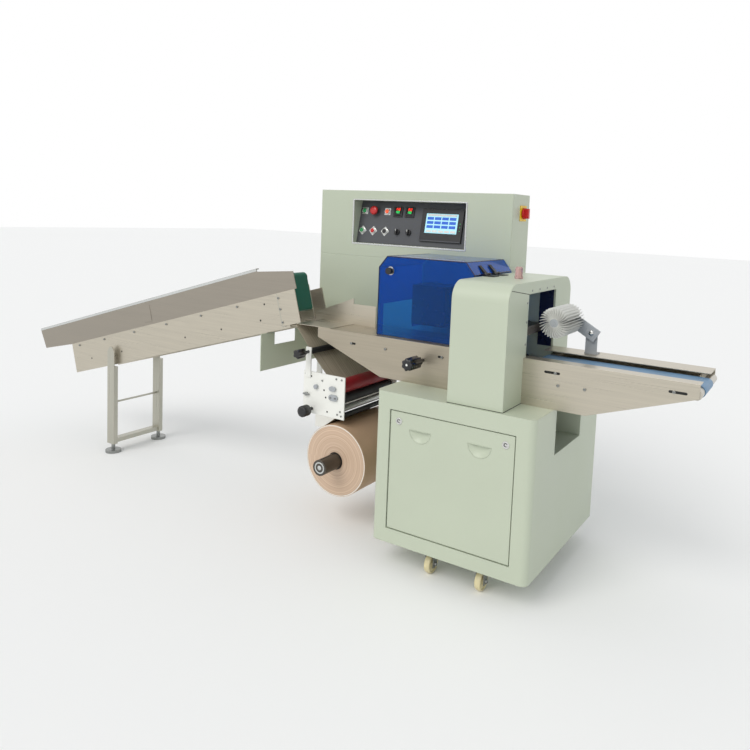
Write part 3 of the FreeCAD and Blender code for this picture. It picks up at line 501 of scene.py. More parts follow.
def slab(outline, centre, axis, low, high):
    """An outline of (u, v) given a thickness from low to high along an axis."""
    outline = np.array(outline, float)
    count = len(outline)
    ends = [np.column_stack([outline, np.full(count, h)]) for h in (low, high)]
    sides = grid_faces(2, count, False, True)
    caps = [list(range(count))[::-1], list(range(count, 2 * count))]
    return np.concatenate(ends) @ AXES[axis] + np.array(centre, float), sides + caps


def rounded(width, height, radius, steps=5):
    """A rectangle's outline about its middle, with quarter circles for corners."""
    t = np.linspace(0, math.pi / 2, steps)
    arc = radius * np.stack([np.cos(t), np.sin(t)], -1)
    corner = np.array([width / 2 - radius, height / 2 - radius])
    parts = []
    for quarter, signs in enumerate(((1, 1), (-1, 1), (-1, -1), (1, -1))):
        a = quarter * math.pi / 2
        spin = np.array([(math.cos(a), math.sin(a)), (-math.sin(a), math.cos(a))])
        parts.append(arc @ spin + corner * signs)
    return np.concatenate(parts)


def brick(low, high):
    """A rectangular block between two corners."""
    low, high = np.array(low, float), np.array(high, float)
    x, y, z = np.meshgrid((0, 1), (0, 1), (0, 1), indexing="ij")
    points = low + np.stack([x, y, z], -1).reshape(-1, 3) * (high - low)
    faces = [(0, 1, 3, 2), (4, 6, 7, 5), (0, 4, 5, 1), (2, 3, 7, 6), (0, 2, 6, 4), (1, 5, 7, 3)]
    return points, [list(f) for f in faces]


def swept(path, section, closed=False):
    """A section of (side, up) carried along a path, square to it at every point.

    The side direction is the path's direction crossed with a fixed up, and up is made
    square to both, which suits paths that never run along that up.
    """
    path, section = np.array(path, float), np.array(section, float)
    if closed:
        along = np.roll(path, -1, 0) - np.roll(path, 1, 0)
    else:
        along = np.gradient(path, axis=0)
    along /= np.linalg.norm(along, axis=1)[:, None]
    spread = np.abs(along).max(0)
    up = np.eye(3)[int(np.argmin(spread))]
    side = np.cross(along, up)
    side /= np.linalg.norm(side, axis=1)[:, None]
    lift = np.cross(side, along)
    points = path[:, None] + section[None, :, :1] * side[:, None] + section[None, :, 1:] * lift[:,
        None]
    faces = grid_faces(len(path), len(section), closed, True)
    if not closed:
        last = (len(path) - 1) * len(section)
        faces += [list(range(len(section)))[::-1], [last + k for k in range(len(section))]]
    return points.reshape(-1, 3), faces


def round_section(radius, sides=10):
    """Points (r cos t, r sin t) of a round bar's section."""
    t = np.linspace(0, 2 * math.pi, sides, endpoint=False)
    return radius * np.stack([np.cos(t), np.sin(t)], -1)


def repeated(shape, offsets):
    """One shape at several places, as one shape."""
    points, faces = shape
    offsets = np.array(offsets, float)
    every = (points[None] + offsets[:, None]).reshape(-1, 3)
    count = len(points)
    return every, [[i + k * count for i in face] for k in range(len(offsets)) for face in faces]


def joined(*shapes):
    """Several shapes as one."""
    points, faces, start = [], [], 0
    for shape_points, shape_faces in shapes:
        points.append(shape_points)
        faces += [[i + start for i in face] for face in shape_faces]
        start += len(shape_points)
    return np.concatenate(points), faces


def socket_head(radius, height, centre, axis):
    """A round bolt head with a round socket sunk into it."""
    r, h = radius, height
    profile = [(0, h * 0.45), (r * 0.5, h * 0.45), (r * 0.52, h), (r * 0.85, h), (r, h * 0.8),
        (r, 0), (0, 0)]
    return turned(profile, centre, axis, 18)


def make(name, shape, material, body="machine", bevel=0.0, smooth=40, replaces=()):
    """Puts a shape into a mesh, closes its poles, turns its faces outwards and lets it ride."""
    points, faces = shape
    mesh = bpy.data.meshes.new(name)
    mesh.from_pydata(place(points), [], faces)
    clean_up(mesh)
    mesh.materials.append(material)
    mesh.shade_smooth()
    mesh.set_sharp_from_angle(angle=math.radians(smooth))
    piece = bpy.data.objects.new(name, mesh)
    bpy.context.scene.collection.objects.link(piece)
    if bevel:
        rounding = piece.modifiers.new("rounding", "BEVEL")
        rounding.width = bevel * MM
        rounding.segments = 2
        rounding.limit_method = "ANGLE"
        rounding.angle_limit = math.radians(35)
    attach(piece, body)
    if replaces:
        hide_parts(*replaces)
    return piece


def clean_up(mesh):
    """Joins the doubled points of closed seams, drops empty faces and turns faces outwards."""
    work = bmesh.new()
    work.from_mesh(mesh)
    bmesh.ops.remove_doubles(work, verts=work.verts, dist=1e-6)
    flat = [face for face in work.faces if face.calc_area() < 1e-12]
    bmesh.ops.delete(work, geom=flat, context="FACES")
    bmesh.ops.recalc_face_normals(work, faces=work.faces)
    work.to_mesh(mesh)
    work.free()


# %% [markdown]
# ## The front panel's grips and locks
# The lift-off panel is pulled by two half-round pockets pressed into the sheet, and held by two
# round locks. A pocket is one surface: its rim is a half circle closed by a flat top, and it
# sinks as a quarter wave towards the middle. The lock is a turned ring with a dark key slot.

# %% Grips and locks
panel_low, panel_high = limits("base_front_panel")
locks_low, locks_high = limits("panel_locks")
GRIP_RADIUS, GRIP_TOP = 45.0, 559.0
GRIPS = (-440.0, -200.0)
LOCKS = (-531.0, -102.0)
LOCK_Z = (locks_low[2] + locks_high[2]) / 2
FACE = panel_low[1]


def grip_pocket(x):
    """Rim point (R cos t, -R |sin t|) drawn in by s, at a depth of 12 sin(90 s) behind the face."""
    t = np.linspace(0, math.pi, 33)
    curve = np.stack([np.cos(t) * GRIP_RADIUS, -np.sin(t) * GRIP_RADIUS], -1)
    top = np.stack([np.linspace(-GRIP_RADIUS, GRIP_RADIUS, 17)[1:-1], np.zeros(15)], -1)
    rim = np.concatenate([curve, top])
    s = np.linspace(0, 1, 9)[:, None, None]
    middle = np.array([0.0, -10.0])
    flat = middle + (rim - middle)[None] * (1 - 0.8 * s)
    depth = np.broadcast_to(FACE + 12.5 * np.sin(s * math.pi / 2), (9, len(rim), 1))
    points = np.concatenate([x + flat[..., :1], depth, GRIP_TOP + flat[..., 1:]], -1)
    faces = grid_faces(9, len(rim), False, True)
    faces.append([8 * len(rim) + k for k in range(len(rim))])
    return points.reshape(-1, 3), faces


def grip_rim(x):
    """A thin bead round the pocket: its lower side is a half circle, its upper side is flat."""
    t = np.linspace(0, math.pi, 33)
    curve = np.stack([x + np.cos(t) * GRIP_RADIUS, np.full(33, FACE),
        GRIP_TOP - np.sin(t) * GRIP_RADIUS], -1)
    return swept(curve, round_section(1.1, 8), closed=True)


for side, x in zip(("left", "right"), GRIPS):
    make(f"grip_pocket_{side}", grip_pocket(x), paint)
    make(f"grip_rim_{side}", grip_rim(x), paint)
lock = [(0, -1.5), (8, -1.5), (8.5, -0.2), (12.5, -0.2), (13.3, -1), (13.3, -8), (0, -8)]
ring = turned(lock, (0, 0, 0), "-Y")
lock_places = [(x, locks_low[1], LOCK_Z) for x in LOCKS]
make("lock_rings", repeated(ring, lock_places), chrome, replaces=["panel_locks"])
t = np.linspace(math.radians(30), math.radians(300), 25)
slot_path = np.stack([5.4 * np.cos(t), np.full(25, 1.6), 5.4 * np.sin(t)], -1)
slots = repeated(swept(slot_path, round_section(1.3, 8)), lock_places)
make("lock_key_slots", slots, black_metal)

# %% [markdown]
# ## Casters
# Four cream nylon wheels run in pressed steel forks. A wheel is a turned profile with a
# rounded tread and a hub; the fork is the CAD solid, with a swivel race and nuts added.

# %% Casters
WHEEL = [(5.1, -14), (11, -14), (12, -12.5), (12.5, -8), (29, -8), (30, -10.5), (33, -11.8),
         (36.2, -10.5), (37.4, -6), (37.5, 0), (37.4, 6), (36.2, 10.5), (33, 11.8), (30, 10.5),
         (29, 8), (12.5, 8), (12, 12.5), (11, 14), (5.1, 14), (5.1, -14)]
race = turned([(0, 0), (25, 0), (27, 2), (27, 7), (25, 9), (0, 9)], (0, 0, 0), "Z")
nut = turned([(0, 0), (8, 0), (8, 5), (6.5, 6.5), (0, 6.5)], (0, 0, 0), "X", 6)
fork_high = limits("caster_forks")[1][2]
races, nuts = [], []
for row in ("front", "rear"):
    for side in ("left", "right"):
        node = f"caster_wheel_{row}_{side}"
        low, high = limits(node)
        middle = (low + high) / 2
        wheel = turned(WHEEL, middle, "X", 64)
        make(f"wheel_{row}_{side}_dressed", wheel, cream_nylon, f"wheel_{row}_{side}",
            replaces=[node])
        races.append((middle[0], middle[1], fork_high - 12))
        nuts += [(middle[0] + 17.9, middle[1], middle[2]), (middle[0] - 24.4, middle[1], middle[2])]
make("caster_races", repeated(race, races), zinc)
make("caster_nuts", repeated(nut, nuts), zinc)

# %% [markdown]
# ## Lobed knobs
# A hand wheel or star knob is moulded black plastic. Its outline is a circle whose radius
# swells and shrinks with the cosine of the angle, so fingers find a hold. The same formula
# with many shallow lobes gives the knurling of the film tension knob.

# %% Lobed knobs
def lobed(profile, lobes, depth, centre, axis, segments=120):
    """A turned profile whose radius is multiplied by 1 - depth/2 + depth/2 cos(lobes t)."""
    profile = np.array(profile, float)
    t = np.linspace(0, 2 * math.pi, segments, endpoint=False)
    wave = 1 - depth / 2 + depth / 2 * np.cos(lobes * t)
    ring = np.stack([np.cos(t) * wave, np.sin(t) * wave], -1)
    flat = profile[:, None, :1] * ring[None]
    height = np.broadcast_to(profile[:, None, 1:], (len(profile), segments, 1))
    local = np.concatenate([flat, height], -1).reshape(-1, 3)
    return local @ AXES[axis] + np.array(centre, float), grid_faces(len(profile), segments, False,
        True)


def knob_frame(node):
    """Middle of a knob's back face, its radius, and its length towards the front."""
    low, high = limits(node)
    middle = (low + high) / 2
    return (middle[0], high[1], middle[2]), (high[0] - low[0]) / 2, high[1] - low[1]


def knob_profile(radius, length, stem):
    """A stem of a given radius, then a head with rounded shoulders and a slightly domed face."""
    back = length * 0.42
    return [(0, 0), (stem, 0), (stem, back), (radius * 0.86, back), (radius, back + 2.5),
            (radius, length - 4), (radius * 0.9, length - 1), (radius * 0.5, length), (0, length)]


for node, body, lobes, depth in (
    ("film_guide_star_knob", "star_knob", 5, 0.26),
    ("table_hand_knob", "table_knob", 7, 0.16),
    ("film_tension_knob", "tension_knob", 28, 0.06),
):
    back, radius, length = knob_frame(node)
    make(f"{node}_moulded", lobed(knob_profile(radius, length, 7), lobes, depth, back, "-Y"),
         black_plastic, body, smooth=50, replaces=[node])
    print(node, "radius", round(radius, 1), "length", round(length, 1))
back, radius, length = knob_frame("table_hand_knob")
cap = turned([(0, 0.5), (4.2, 0.4), (4.5, 0), (4.5, -1)], (back[0], back[1] - length, back[2]),
    "-Y", 24)
make("hand_knob_cap", cap, white_paint, "table_knob")

# %% [markdown]
# ## The film roll
# The end of a roll of film shows hundreds of wound edges, some a hair proud of others, and it
# is a little browner than the outside, which is light grey film. The end is a turned disc
# whose material makes rings from the distance to the mandrel, bent slightly by the angle.

# %% The film roll
roll_low, roll_high = limits("film_roll")
ROLL = np.array([(roll_low[0] + roll_high[0]) / 2, roll_low[1], (roll_low[2] + roll_high[2]) / 2])
ROLL_RADIUS = (roll_high[0] - roll_low[0]) / 2
wound_edge = finish("wound_film_edges", srgb(204, 176, 150), 0.42, vary=0.05, cloud=10, bump=0.03)


def add_rings(material, centre, first, second):
    """Mixes two colours by a noise of the distance from an axis along Y plus a little angle."""
    tree = material.node_tree
    spot = tree.nodes.new("ShaderNodeTexCoord").outputs["Object"]
    parts = tree.nodes.new("ShaderNodeSeparateXYZ")
    tree.links.new(spot, parts.inputs[0])
    x = math_node(tree, "SUBTRACT", parts.outputs["X"], float(centre[0]))
    z = math_node(tree, "SUBTRACT", parts.outputs["Z"], float(centre[2]))
    squared = math_node(tree, "ADD", math_node(tree, "MULTIPLY", x, x),
        math_node(tree, "MULTIPLY", z, z))
    angle = math_node(tree, "MULTIPLY", math_node(tree, "ARCTAN2", z, x), 0.0016)
    radius = math_node(tree, "ADD", math_node(tree, "SQRT", squared), angle)
    line = tree.nodes.new("ShaderNodeCombineXYZ")
    tree.links.new(radius, line.inputs[0])
    ring = noise(tree, line.outputs[0], 170.0, 2.5, 0.6)
    tint = mix_colors(tree, span(tree, ring, 0, 1), first, second)
    tree.links.new(tint, tree.nodes["Principled BSDF"].inputs["Base Color"])


add_rings(wound_edge, place(ROLL), srgb(184, 152, 126), srgb(222, 198, 174))
face = [(35, 0), (35, 0.6), (ROLL_RADIUS - 2, 0.6), (ROLL_RADIUS - 0.4, 0)]
make("roll_end", turned(face, ROLL, "-Y", 128), wound_edge, "film_reel", smooth=30)
rim = [(ROLL_RADIUS - 5, 0.6), (ROLL_RADIUS - 4.6, 1.0), (ROLL_RADIUS - 2.4, 1.0),
    (ROLL_RADIUS - 2, 0.6)]
make("roll_end_rim", turned(rim, ROLL, "-Y", 128), white_paint, "film_reel")
mandrel_low = limits("film_mandrel")[0]
core = [(33.4, -2), (33.4, 1.6), (37, 1.6), (37, -2)]
make("roll_core", turned(core, ROLL, "-Y", 72), gap_black, "film_reel")
nose = (ROLL[0], mandrel_low[1], ROLL[2])
cap = [(0, 0.4), (9, 0.4), (10, -0.4), (18, -0.4), (19, 0.2), (24, 0.2), (25, -1.5)]
make("mandrel_cap", turned(cap, nose, "-Y", 48), silver, "film_reel")
make("mandrel_slot", brick((ROLL[0] - 2, mandrel_low[1] + 6, ROLL[2] + 31),
    (ROLL[0] + 2, ROLL[1] - 8, ROLL[2] + 33.3)),
     gap_black, "film_reel")

# %% [markdown]
# ## The brush
# A brush of soft white paddles pats the packs down as they leave the jaws. Each paddle is a
# strip from the hub to the rim that leans back a little, so its section is a thin curved
# blade. The strips ride on the turning brush.

# %% The brush
brush_low, brush_high = limits("brush_roller")
HUB = (brush_low + brush_high) / 2
BRUSH_RADIUS = (brush_high[0] - brush_low[0]) / 2 - 0.5


def paddle(angle, inner, outer, thick, count=6):
    """A blade: its middle line is at angle + 0.35 s for s from 0 at the hub to 1 at the rim."""
    s = np.linspace(0, 1, count)
    radius = inner + (outer - inner) * s
    turn = angle + 0.35 * s
    line = np.stack([np.sin(turn), np.cos(turn)], -1) * radius[:, None]
    side = np.stack([np.cos(turn), -np.sin(turn)], -1) * thick / 2
    return np.concatenate([line + side, (line - side)[::-1]])


blades = [
    slab(paddle(a, 12, BRUSH_RADIUS, 1.6), (HUB[0], 0, HUB[2]), "Y", brush_low[1] + 0.5,
    brush_high[1] - 0.5)
    for a in np.linspace(0, 2 * math.pi, 30, endpoint=False)
]
hub = turned([(6, brush_low[1]), (15, brush_low[1]), (15, brush_high[1]), (6, brush_high[1]),
    (6, brush_low[1])],
             (HUB[0], 0, HUB[2]), "Y", 32)
make("brush_paddles", joined(*blades), white_nylon, "brush", smooth=35, replaces=["brush_roller"])
make("brush_hub", hub, grey_paint, "brush")

# %% [markdown]
# ## The control panel
# The panel leans back in its recess, so its parts are drawn flat in the panel's own frame,
# along, into and up, and then carried onto the lean. Buttons are turned caps in chrome
# rings, each on a light label plate. The digits are bars of seven segments that give light.

# %% Buttons, lamps and selectors
LEAN = math.radians(11.7)
PANEL = np.array([-1170.0, 578.0, 1204.0])
ROW_HIGH, ROW_LOW = 155.0, 60.0
COLUMNS = (27.0, 88.0, 155.0)
CAP_RADIUS, CAP_HEIGHT = 10.5, 11
RING_RADIUS, RING_WIDTH, RING_HEIGHT = 10.7, 3, 8.5
LABEL_SIZE = 33
SELECTORS = (223.0, 285.0)
led_red = finish("red_digits", srgb(255, 60, 40), 0.4, vary=0.02, glow=(srgb(255, 60, 40), 1.6))
led_green = finish("green_digits", srgb(60, 230, 120), 0.4, vary=0.02,
    glow=(srgb(60, 230, 120), 1.2))
green_plastic = finish("green_plastic", srgb(24, 140, 76), 0.3, vary=0.05, cloud=40, coat=0.3)


def on_panel(shape):
    """Leans a shape: (x, y, z) goes to (x, y cos a + z sin a, -y sin a + z cos a) + corner."""
    points, faces = shape
    c, s = math.cos(LEAN), math.sin(LEAN)
    return points @ np.array([(1, 0, 0), (0, c, -s), (0, s, c)]) + PANEL, faces


def cap_shape(x, z, radius, height):
    """A button's cap: its profile (r, h) turned about the panel's outward axis."""
    return turned([(0, 0), (radius, 0), (radius, height - 2), (radius - 1.5, height), (0, height)],
                  (x, 0, z), "-Y", 32)


def ring_shape(x, z, radius, height):
    """A button's ring, RING_WIDTH wide, turned about the panel's outward axis."""
    outer = radius + RING_WIDTH
    return turned([(radius, 0), (outer, 0), (outer, height - 1), (outer - 1, height),
                   (radius, height), (radius, 0)], (x, 0, z), "-Y", 36)


def label_shape(x, z, size, turn):
    """A square label plate, its outline turned by (cos, sin) of an angle."""
    c, s = math.cos(turn), math.sin(turn)
    return slab(rounded(size, size, 3) @ np.array([(c, s), (-s, c)]), (x, 0, z), "-Y", 0, 1.0)


buttons = [(x, ROW_LOW, m) for x, m in zip(COLUMNS, (green_plastic, red_plastic, black_plastic))]
lamps = [(COLUMNS[0], ROW_HIGH, green_lamp), (COLUMNS[2], ROW_HIGH, amber_lamp)]
for number, (x, z, material) in enumerate(buttons + lamps):
    kind, node = ("button", "push_buttons") if z == ROW_LOW else ("lamp", "pilot_lamps")
    make(f"{kind}_{number}", on_panel(cap_shape(x, z, CAP_RADIUS, CAP_HEIGHT)), material,
        replaces=[node])
rings = [on_panel(ring_shape(x, z, RING_RADIUS, RING_HEIGHT)) for x, z, _ in buttons + lamps]
make("button_rings", joined(*rings), chrome)
labels = [on_panel(label_shape(x, z, LABEL_SIZE, math.radians(45) if z == ROW_LOW else 0)) for x,
    z, _ in buttons + lamps]
make("button_labels", joined(*labels), silver)
mushroom = [(0, 27.8), (9, 27.4), (16, 26), (20, 23), (20.8, 20), (20.5, 17.5), (18, 16), (13, 16),
    (13, 4.8), (0, 4.8)]
make("e_stop_mushroom", on_panel(turned(mushroom, (COLUMNS[1], 0, ROW_HIGH), "-Y", 48)),
    red_plastic,
     "e_stop", replaces=["emergency_stop_button"])
selectors, pointers = [], []
for x in SELECTORS:
    selectors += [cap_shape(x, ROW_LOW, 14, 8), slab(rounded(9, 27, 3), (x, 0, ROW_LOW), "-Y", 8,
        17)]
    pointers.append(brick((x - 1.2, -17.6, ROW_LOW + 2), (x + 1.2, -17, ROW_LOW + 12)))
make("selector_bodies", on_panel(joined(*selectors)), black_plastic, bevel=0.6,
    replaces=["selector_switches"])
make("selector_pointers", on_panel(joined(*pointers)), white_paint)

# %% [markdown]
# ## Temperature controllers and touch screen
# Each controller shows the measured value in red over the set value in green. The touch
# screen shows a table of settings: a pale page, a row of blue cells, and keys along its foot.

# %% Displays
SEGMENTS = {"0": "abcdef", "1": "bc", "2": "abged", "4": "fgbc", "5": "afgcd", "8": "abcdefg"}
BARS = {"a": (0, 2, 1, 2), "g": (0, 1, 1, 1), "d": (0, 0, 1, 0), "f": (0, 1, 0, 2),
        "b": (1, 1, 1, 2), "e": (0, 0, 0, 1), "c": (1, 0, 1, 1)}


def number_shape(text, x, z, size, face):
    """Digits of seven bars; size is half a digit's height, face the depth of their front."""
    shapes = []
    for place_no, digit in enumerate(text):
        left = x + place_no * size * 1.7
        for bar_name in SEGMENTS[digit]:
            x0, z0, x1, z1 = (v * size for v in BARS[bar_name])
            half = size * 0.13
            shapes.append(brick((left + x0 - half, face, z + z0 - half),
                (left + x1 + half, face + 0.4, z + z1 + half)))
    return joined(*shapes)


CONTROLLERS = ((214.0, "148"), (278.0, "152"))
windows, reds, greens = [], [], []
for x, measured in CONTROLLERS:
    windows.append(brick((x - 19, -5.4, ROW_HIGH - 8), (x + 19, -4.9, ROW_HIGH + 20)))
    reds.append(number_shape(measured, x - 12, ROW_HIGH + 7, 5.2, -5.8))
    greens.append(number_shape("150", x - 12, ROW_HIGH - 6, 4.6, -5.8))
    windows.append(brick((x - 17, -5.6, ROW_HIGH - 20), (x + 17, -4.9, ROW_HIGH - 13)))
make("controller_windows", on_panel(joined(*windows)), gap_black)
make("measured_digits", on_panel(joined(*reds)), led_red)
make("set_digits", on_panel(joined(*greens)), led_green)
print("controllers read", [measured for _, measured in CONTROLLERS])
page = finish("screen_page", srgb(176, 222, 232), 0.25, vary=0.02, glow=(srgb(150, 210, 226), 0.45))
cell_blue = finish("screen_cells", srgb(44, 96, 190), 0.25, vary=0.02,
    glow=(srgb(40, 92, 196), 0.4))
make("screen_page", on_panel(brick((373, -8.5, 63), (536, -8, 153))), page)
cells = [brick((380 + 38 * i, -8.9, 124 - 19 * j), (413 + 38 * i, -8.5,
    137 - 19 * j)) for i in range(4) for j in range(3)]
keys = [brick((380 + 31 * i, -8.9, 67), (406 + 31 * i, -8.5, 77)) for i in range(5)]
make("screen_cells", on_panel(joined(*cells)), cell_blue)
make("screen_keys", on_panel(joined(*keys)), white_paint)
make("screen_title", on_panel(brick((380, -8.9, 142), (528, -8.5, 150))), white_paint)
lights = [cap_shape(549, z, 2.2, 9.6) for z in (78, 94, 110)]
make("screen_lights", on_panel(joined(*lights)), led_green)
make("screen_foot", on_panel(brick((352, -9.4, 25), (560, -8.9, 30))), panel_grey)
LEFT, RIGHT, LOW, HIGH, FRONT = -1170, -576, 1204, 1405.5, 553
trim = [brick((LEFT - 7, FRONT - 1.2, LOW - 7), (RIGHT + 7, FRONT + 0.5, LOW)),
        brick((LEFT - 7, FRONT - 1.2, HIGH), (RIGHT + 7, FRONT + 0.5, HIGH + 5)),
        brick((LEFT - 7, FRONT - 1.2, LOW), (LEFT, FRONT + 0.5, HIGH)),
        brick((RIGHT, FRONT - 1.2, LOW), (RIGHT + 7, FRONT + 0.5, HIGH))]
make("recess_trim", joined(*trim), silver, bevel=0.4)
print("panel dressed")

# %% [markdown]
# ## Bolts, slots and seams
# Plates are held by socket head bolts, and are adjusted along slots. A slot is an outline
# with round ends, set a hair in front of its plate in a colour of deep shadow. The joints
# between housings are narrow gaps, drawn as a thin dark line of painted shadow.

# %% Bolts, slots and seams
def slot_mark(x, z, width, height, face):
    """A slot's outline with half circles for ends, standing 0.3 mm in front of a face."""
    return slab(rounded(width, height, height / 2 - 0.01), (x, face, z), "-Y", -0.3, 0.3)


TABLE_FACE, OUTFEED_FACE = 173.0, limits("outfeed_frame")[0][1]
marks = [slot_mark(-877, 804, 28, 9, TABLE_FACE), slot_mark(-461, 807, 25, 9, TABLE_FACE),
         slot_mark(-15, 816, 58, 9, OUTFEED_FACE), slot_mark(404, 817, 58, 9, OUTFEED_FACE)]
make("adjusting_slots", joined(*marks), gap_black)
places = [(-715, TABLE_FACE, 803), (-884, TABLE_FACE, 804), (-455, TABLE_FACE, 807),
    (-3, OUTFEED_FACE, 816),
          (392, OUTFEED_FACE, 817), (9, OUTFEED_FACE, 774), (104, OUTFEED_FACE, 776)]
bolt = socket_head(5.5, 4.5, (0, 0, 0), "-Y")
make("plate_bolts", repeated(bolt, places), zinc)
ARCH_LEFT, ARCH_RIGHT, ARCH_FRONT, BASE_TOP = -341.5, -125.0, 14.0, 685.0
TUNNEL_FRONT, TUNNEL_BACK, TUNNEL_TOP = 197.0, 478.0, 1080.0


def seam_line(first, second, width, x):
    """A strip of a given width between two points (y, z) on a face at x."""
    first, second = np.array(first, float), np.array(second, float)
    along = (second - first) / np.linalg.norm(second - first)
    side = np.array([-along[1], along[0]]) * width / 2
    return slab([first - side, second - side, second + side, first + side], (x, 0, 0), "X", -0.4,
        0.4)


# These dark strips are painted shadow in the joints between housings.
seams = [brick((ARCH_LEFT, ARCH_FRONT - 0.5, BASE_TOP - 0.5),
    (ARCH_RIGHT + 0.5, ARCH_FRONT + 1, BASE_TOP + 2)),
         brick((ARCH_RIGHT - 1, ARCH_FRONT, BASE_TOP - 0.5),
         (ARCH_RIGHT + 0.5, TUNNEL_FRONT, BASE_TOP + 2)),
         seam_line((36, 1103), (TUNNEL_FRONT, TUNNEL_TOP), 2.0, ARCH_RIGHT)]
make("arch_seams", joined(*seams), gap_black)
# Dark navy sheets on the arch's ceiling and inner walls are painted shade inside the housing.
arch_shade_sheets = [brick((ARCH_LEFT + 2, TUNNEL_FRONT, TUNNEL_TOP - 1.5),
    (ARCH_RIGHT - 8, TUNNEL_BACK, TUNNEL_TOP)),
         brick((-190, TUNNEL_BACK - 1.5, 852), (ARCH_RIGHT - 8, TUNNEL_BACK, TUNNEL_TOP)),
         brick((-190, TUNNEL_FRONT, 852), (ARCH_RIGHT - 8, TUNNEL_FRONT + 1.5, TUNNEL_TOP))]
make("tunnel_painted_shade", joined(*arch_shade_sheets), navy)
screw = turned([(0, 1.6), (3.4, 1.4), (4.2, 0), (4.2, -0.5)], (0, 0, 0), "X", 20)
spots = [(ARCH_RIGHT, y, 1092) for y in (225, 300, 375, 450)] + [(ARCH_RIGHT, 184,
    z) for z in (900, 980, 1050)]
make("arch_screws", repeated(screw, spots), zinc)
clear_pink = finish("clear_lamp_lens", srgb(236, 196, 196), 0.08, vary=0.03, bump=0.0, through=0.7,
    ior=1.3)
lens_shape = turned([(0, 45), (9, 45), (13, 42), (14, 38), (14, 9), (16, 9), (16, 0), (0, 0)],
    (-212, 300, 1124), "Z", 32)
make("arch_top_lens", lens_shape, clear_pink)
print("bolts", len(places), "seams", len(seams), "screws", len(spots))

# %% [markdown]
# ## The cover's edges and knob
# The acrylic cover is glued up from sheets. Light leaves a sheet through its edges, so they
# look darker and stronger than its faces, and that outline is made as a thin bead.

# %% Cover edges
low, high = limits("safety_cover")
CUT_X, CUT_Z = 39.0, 47.0
front = low[1] + 1.0
outline = [(low[0] + 1, low[2] + 1), (high[0] - 1, low[2] + 1), (high[0] - 1, high[2] - CUT_Z),
           (high[0] - CUT_X, high[2] - 1), (low[0] + CUT_X, high[2] - 1),
           (low[0] + 1, high[2] - CUT_Z)]
edges = []
for (x0, z0), (x1, z1) in zip(outline, outline[1:] + outline[:1]):
    edges.append(swept([(x0, front, z0), ((x0 + x1) / 2, front, (z0 + z1) / 2), (x1, front, z1)],
        round_section(2.2, 8)))
for x, z in outline[2:]:
    edges.append(swept([(x, front, z), (x, (front + high[1]) / 2, z), (x, high[1] - 2, z)],
        round_section(1.8, 8)))
make("cover_edges", joined(*edges), navy, "cover")
knob_low, knob_high = limits("cover_knob")
knob_middle = (knob_low + knob_high) / 2
ring = turned([(8, 0), (knob_high[0] - knob_middle[0] + 3, 0),
    (knob_high[0] - knob_middle[0] + 3, 2), (8, 2)],
              (knob_middle[0], low[1], knob_middle[2]), "-Y", 32)
make("cover_knob_ring", ring, chrome, "cover")
print("cover edges", len(edges))

# %% [markdown]
# ## The infeed's bolts and bright lip
# The infeed slopes, so its pieces are drawn along and square to the slope. The folded lip of
# the near wall is drawn as thin bright silver strips, a painted highlight; a splice plate joins
# the two lengths of the wall, and bolts hold the rollers' bearings in the frame plates.

# %% Infeed pieces
SLOPE = math.radians(15.92)
CORNER = np.array([-2790.0, 0.0, 380.0])
PLATE_FACE = 180.0


def on_slope(shape):
    """Carries a shape from along, across, up of the slope: (u cos a - w sin a, y, u sin a + w cos a)."""
    points, faces = shape
    c, s = math.cos(SLOPE), math.sin(SLOPE)
    return points @ np.array([(c, 0, s), (0, 1, 0), (-s, 0, c)]) + CORNER, faces


# These thin silver strips along the wall's top are a painted highlight on the folded lip.
lip = [brick((-279, PLATE_FACE - 0.5, 283), (1490, PLATE_FACE + 0.2, 294.5)),
       brick((-279, PLATE_FACE, 294.8), (1490, PLATE_FACE + 17.5, 295.4))]
make("lip_painted_highlight", on_slope(joined(*lip)), silver)
bolts = [(70, 146), (300, 146), (560, 146), (820, 146), (1080, 146), (1330, 146), (1594, 140),
    (1594, 90), (1594, 30)]
make("infeed_bolts", on_slope(repeated(bolt, [(u, PLATE_FACE - (3 if u > 1500 else 0), w) for u,
    w in bolts])), zinc)
holes = [slab(rounded(9, 9, 4.4), (u, PLATE_FACE, w), "-Y", -0.2, 0.3) for u,
    w in ((160, 60), (430, 60), (940, 60), (1200, 60), (1460, 60), (1500, 128))]
make("infeed_holes", on_slope(joined(*holes)), gap_black)
strip = brick((1584, PLATE_FACE - 3, 10), (1604, PLATE_FACE, 160))
splice = brick((652, PLATE_FACE - 1.5, 178), (716, PLATE_FACE, 262))
make("head_strip", on_slope(strip), steel_z, bevel=0.5)
make("wall_splice", on_slope(splice), steel_trough, bevel=0.5)
print("infeed bolts", len(bolts), "holes", 6)

# %% [markdown]
# ## Fittings of the film unit
# The white plate carries the roller bearings and their locks. A slotted chrome arm holds the
# guide roller's knob, oval bearings sit over slots, and bolt heads pull the plate to its
# spacers.

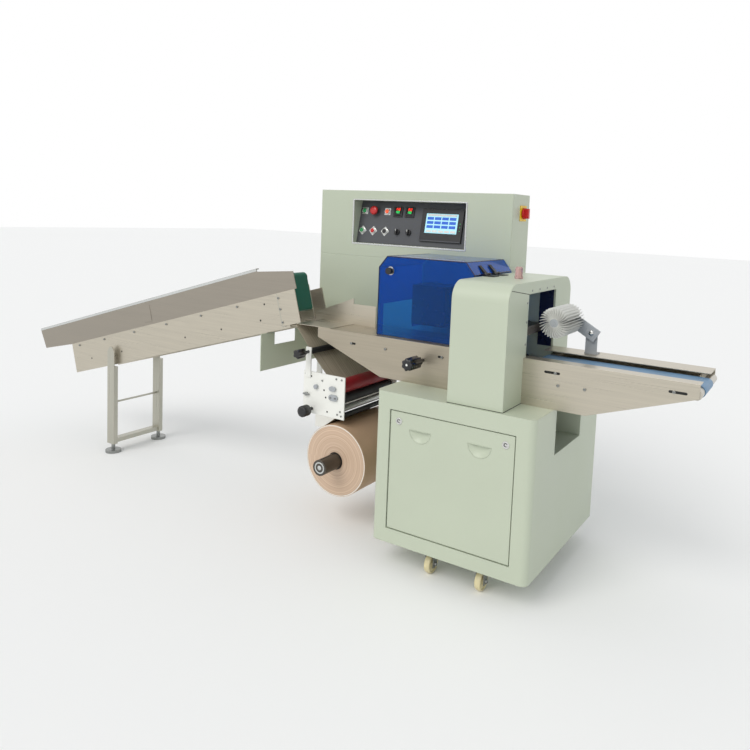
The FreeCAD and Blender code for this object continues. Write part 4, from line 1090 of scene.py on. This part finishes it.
# %% Film unit fittings
UNIT_FACE = 147.0
ARM_X = -1086
arm = slab(rounded(28, 130, 12), (ARM_X, UNIT_FACE, 700), "-Y", 0, 4)
make("slotted_arm", arm, chrome, bevel=0.8)
make("arm_slots", joined(slot_mark(ARM_X, 722, 8, 30, UNIT_FACE - 4),
    slot_mark(ARM_X, 668, 8, 34, UNIT_FACE - 4)), gap_black)
ovals = joined(slab(rounded(46, 26, 12.9), (-948, UNIT_FACE, 566), "-Y", 0, 7),
               slab(rounded(34, 20, 9.9), (-952, UNIT_FACE, 604), "-Y", 0, 9),
               turned([(0, 12), (9, 12), (10, 11), (10, 0), (0, 0)], (-1040, UNIT_FACE, 600), "-Y",
               28))
make("unit_bearings", ovals, grey_paint, bevel=0.8)
wing = joined(turned([(0, 10), (7, 10), (8, 8), (8, 0), (0, 0)], (-1092, UNIT_FACE, 560), "-Y", 24),
              slab(rounded(34, 8, 3.9), (-1092, UNIT_FACE, 560), "-Y", 4, 9))
make("wing_nut", wing, zinc, bevel=0.6)
heads = [(-1100, 648), (-936, 648), (-908, 648), (-960, 566), (-936, 566), (-912, 512),
    (-926, 498), (-906, 494), (-1010, 630)]
make("unit_bolts", repeated(socket_head(4, 3.5, (0, 0, 0), "-Y"),
     [(x, UNIT_FACE - (7 if z == 566 else 0), z) for x, z in heads]), zinc)
dots = [slot_mark(x, z, 8, 8, UNIT_FACE) for x, z in ((-1070, 640), (-990, 560), (-1000, 590),
    (-980, 500))]
make("unit_holes", joined(*dots), gap_black)
pivot = turned([(0, 6), (7, 6), (9, 4.5), (9, -6), (0, -6)], (43, 414.5, 934), "-Y", 28)
make("arm_pivot", pivot, chrome, "brush_arm")
plate_right = limits("main_switch_plate")[1][0]
switch = limits("main_switch_handle")
middle = (switch[0] + switch[1]) / 2
collar = turned([(10, 0), (21, 0), (21, 2.5), (19, 3.5), (10, 3.5)],
    (plate_right, middle[1], middle[2]), "X", 40)
make("switch_collar", collar, black_plastic)
print("film unit bolts", len(heads))
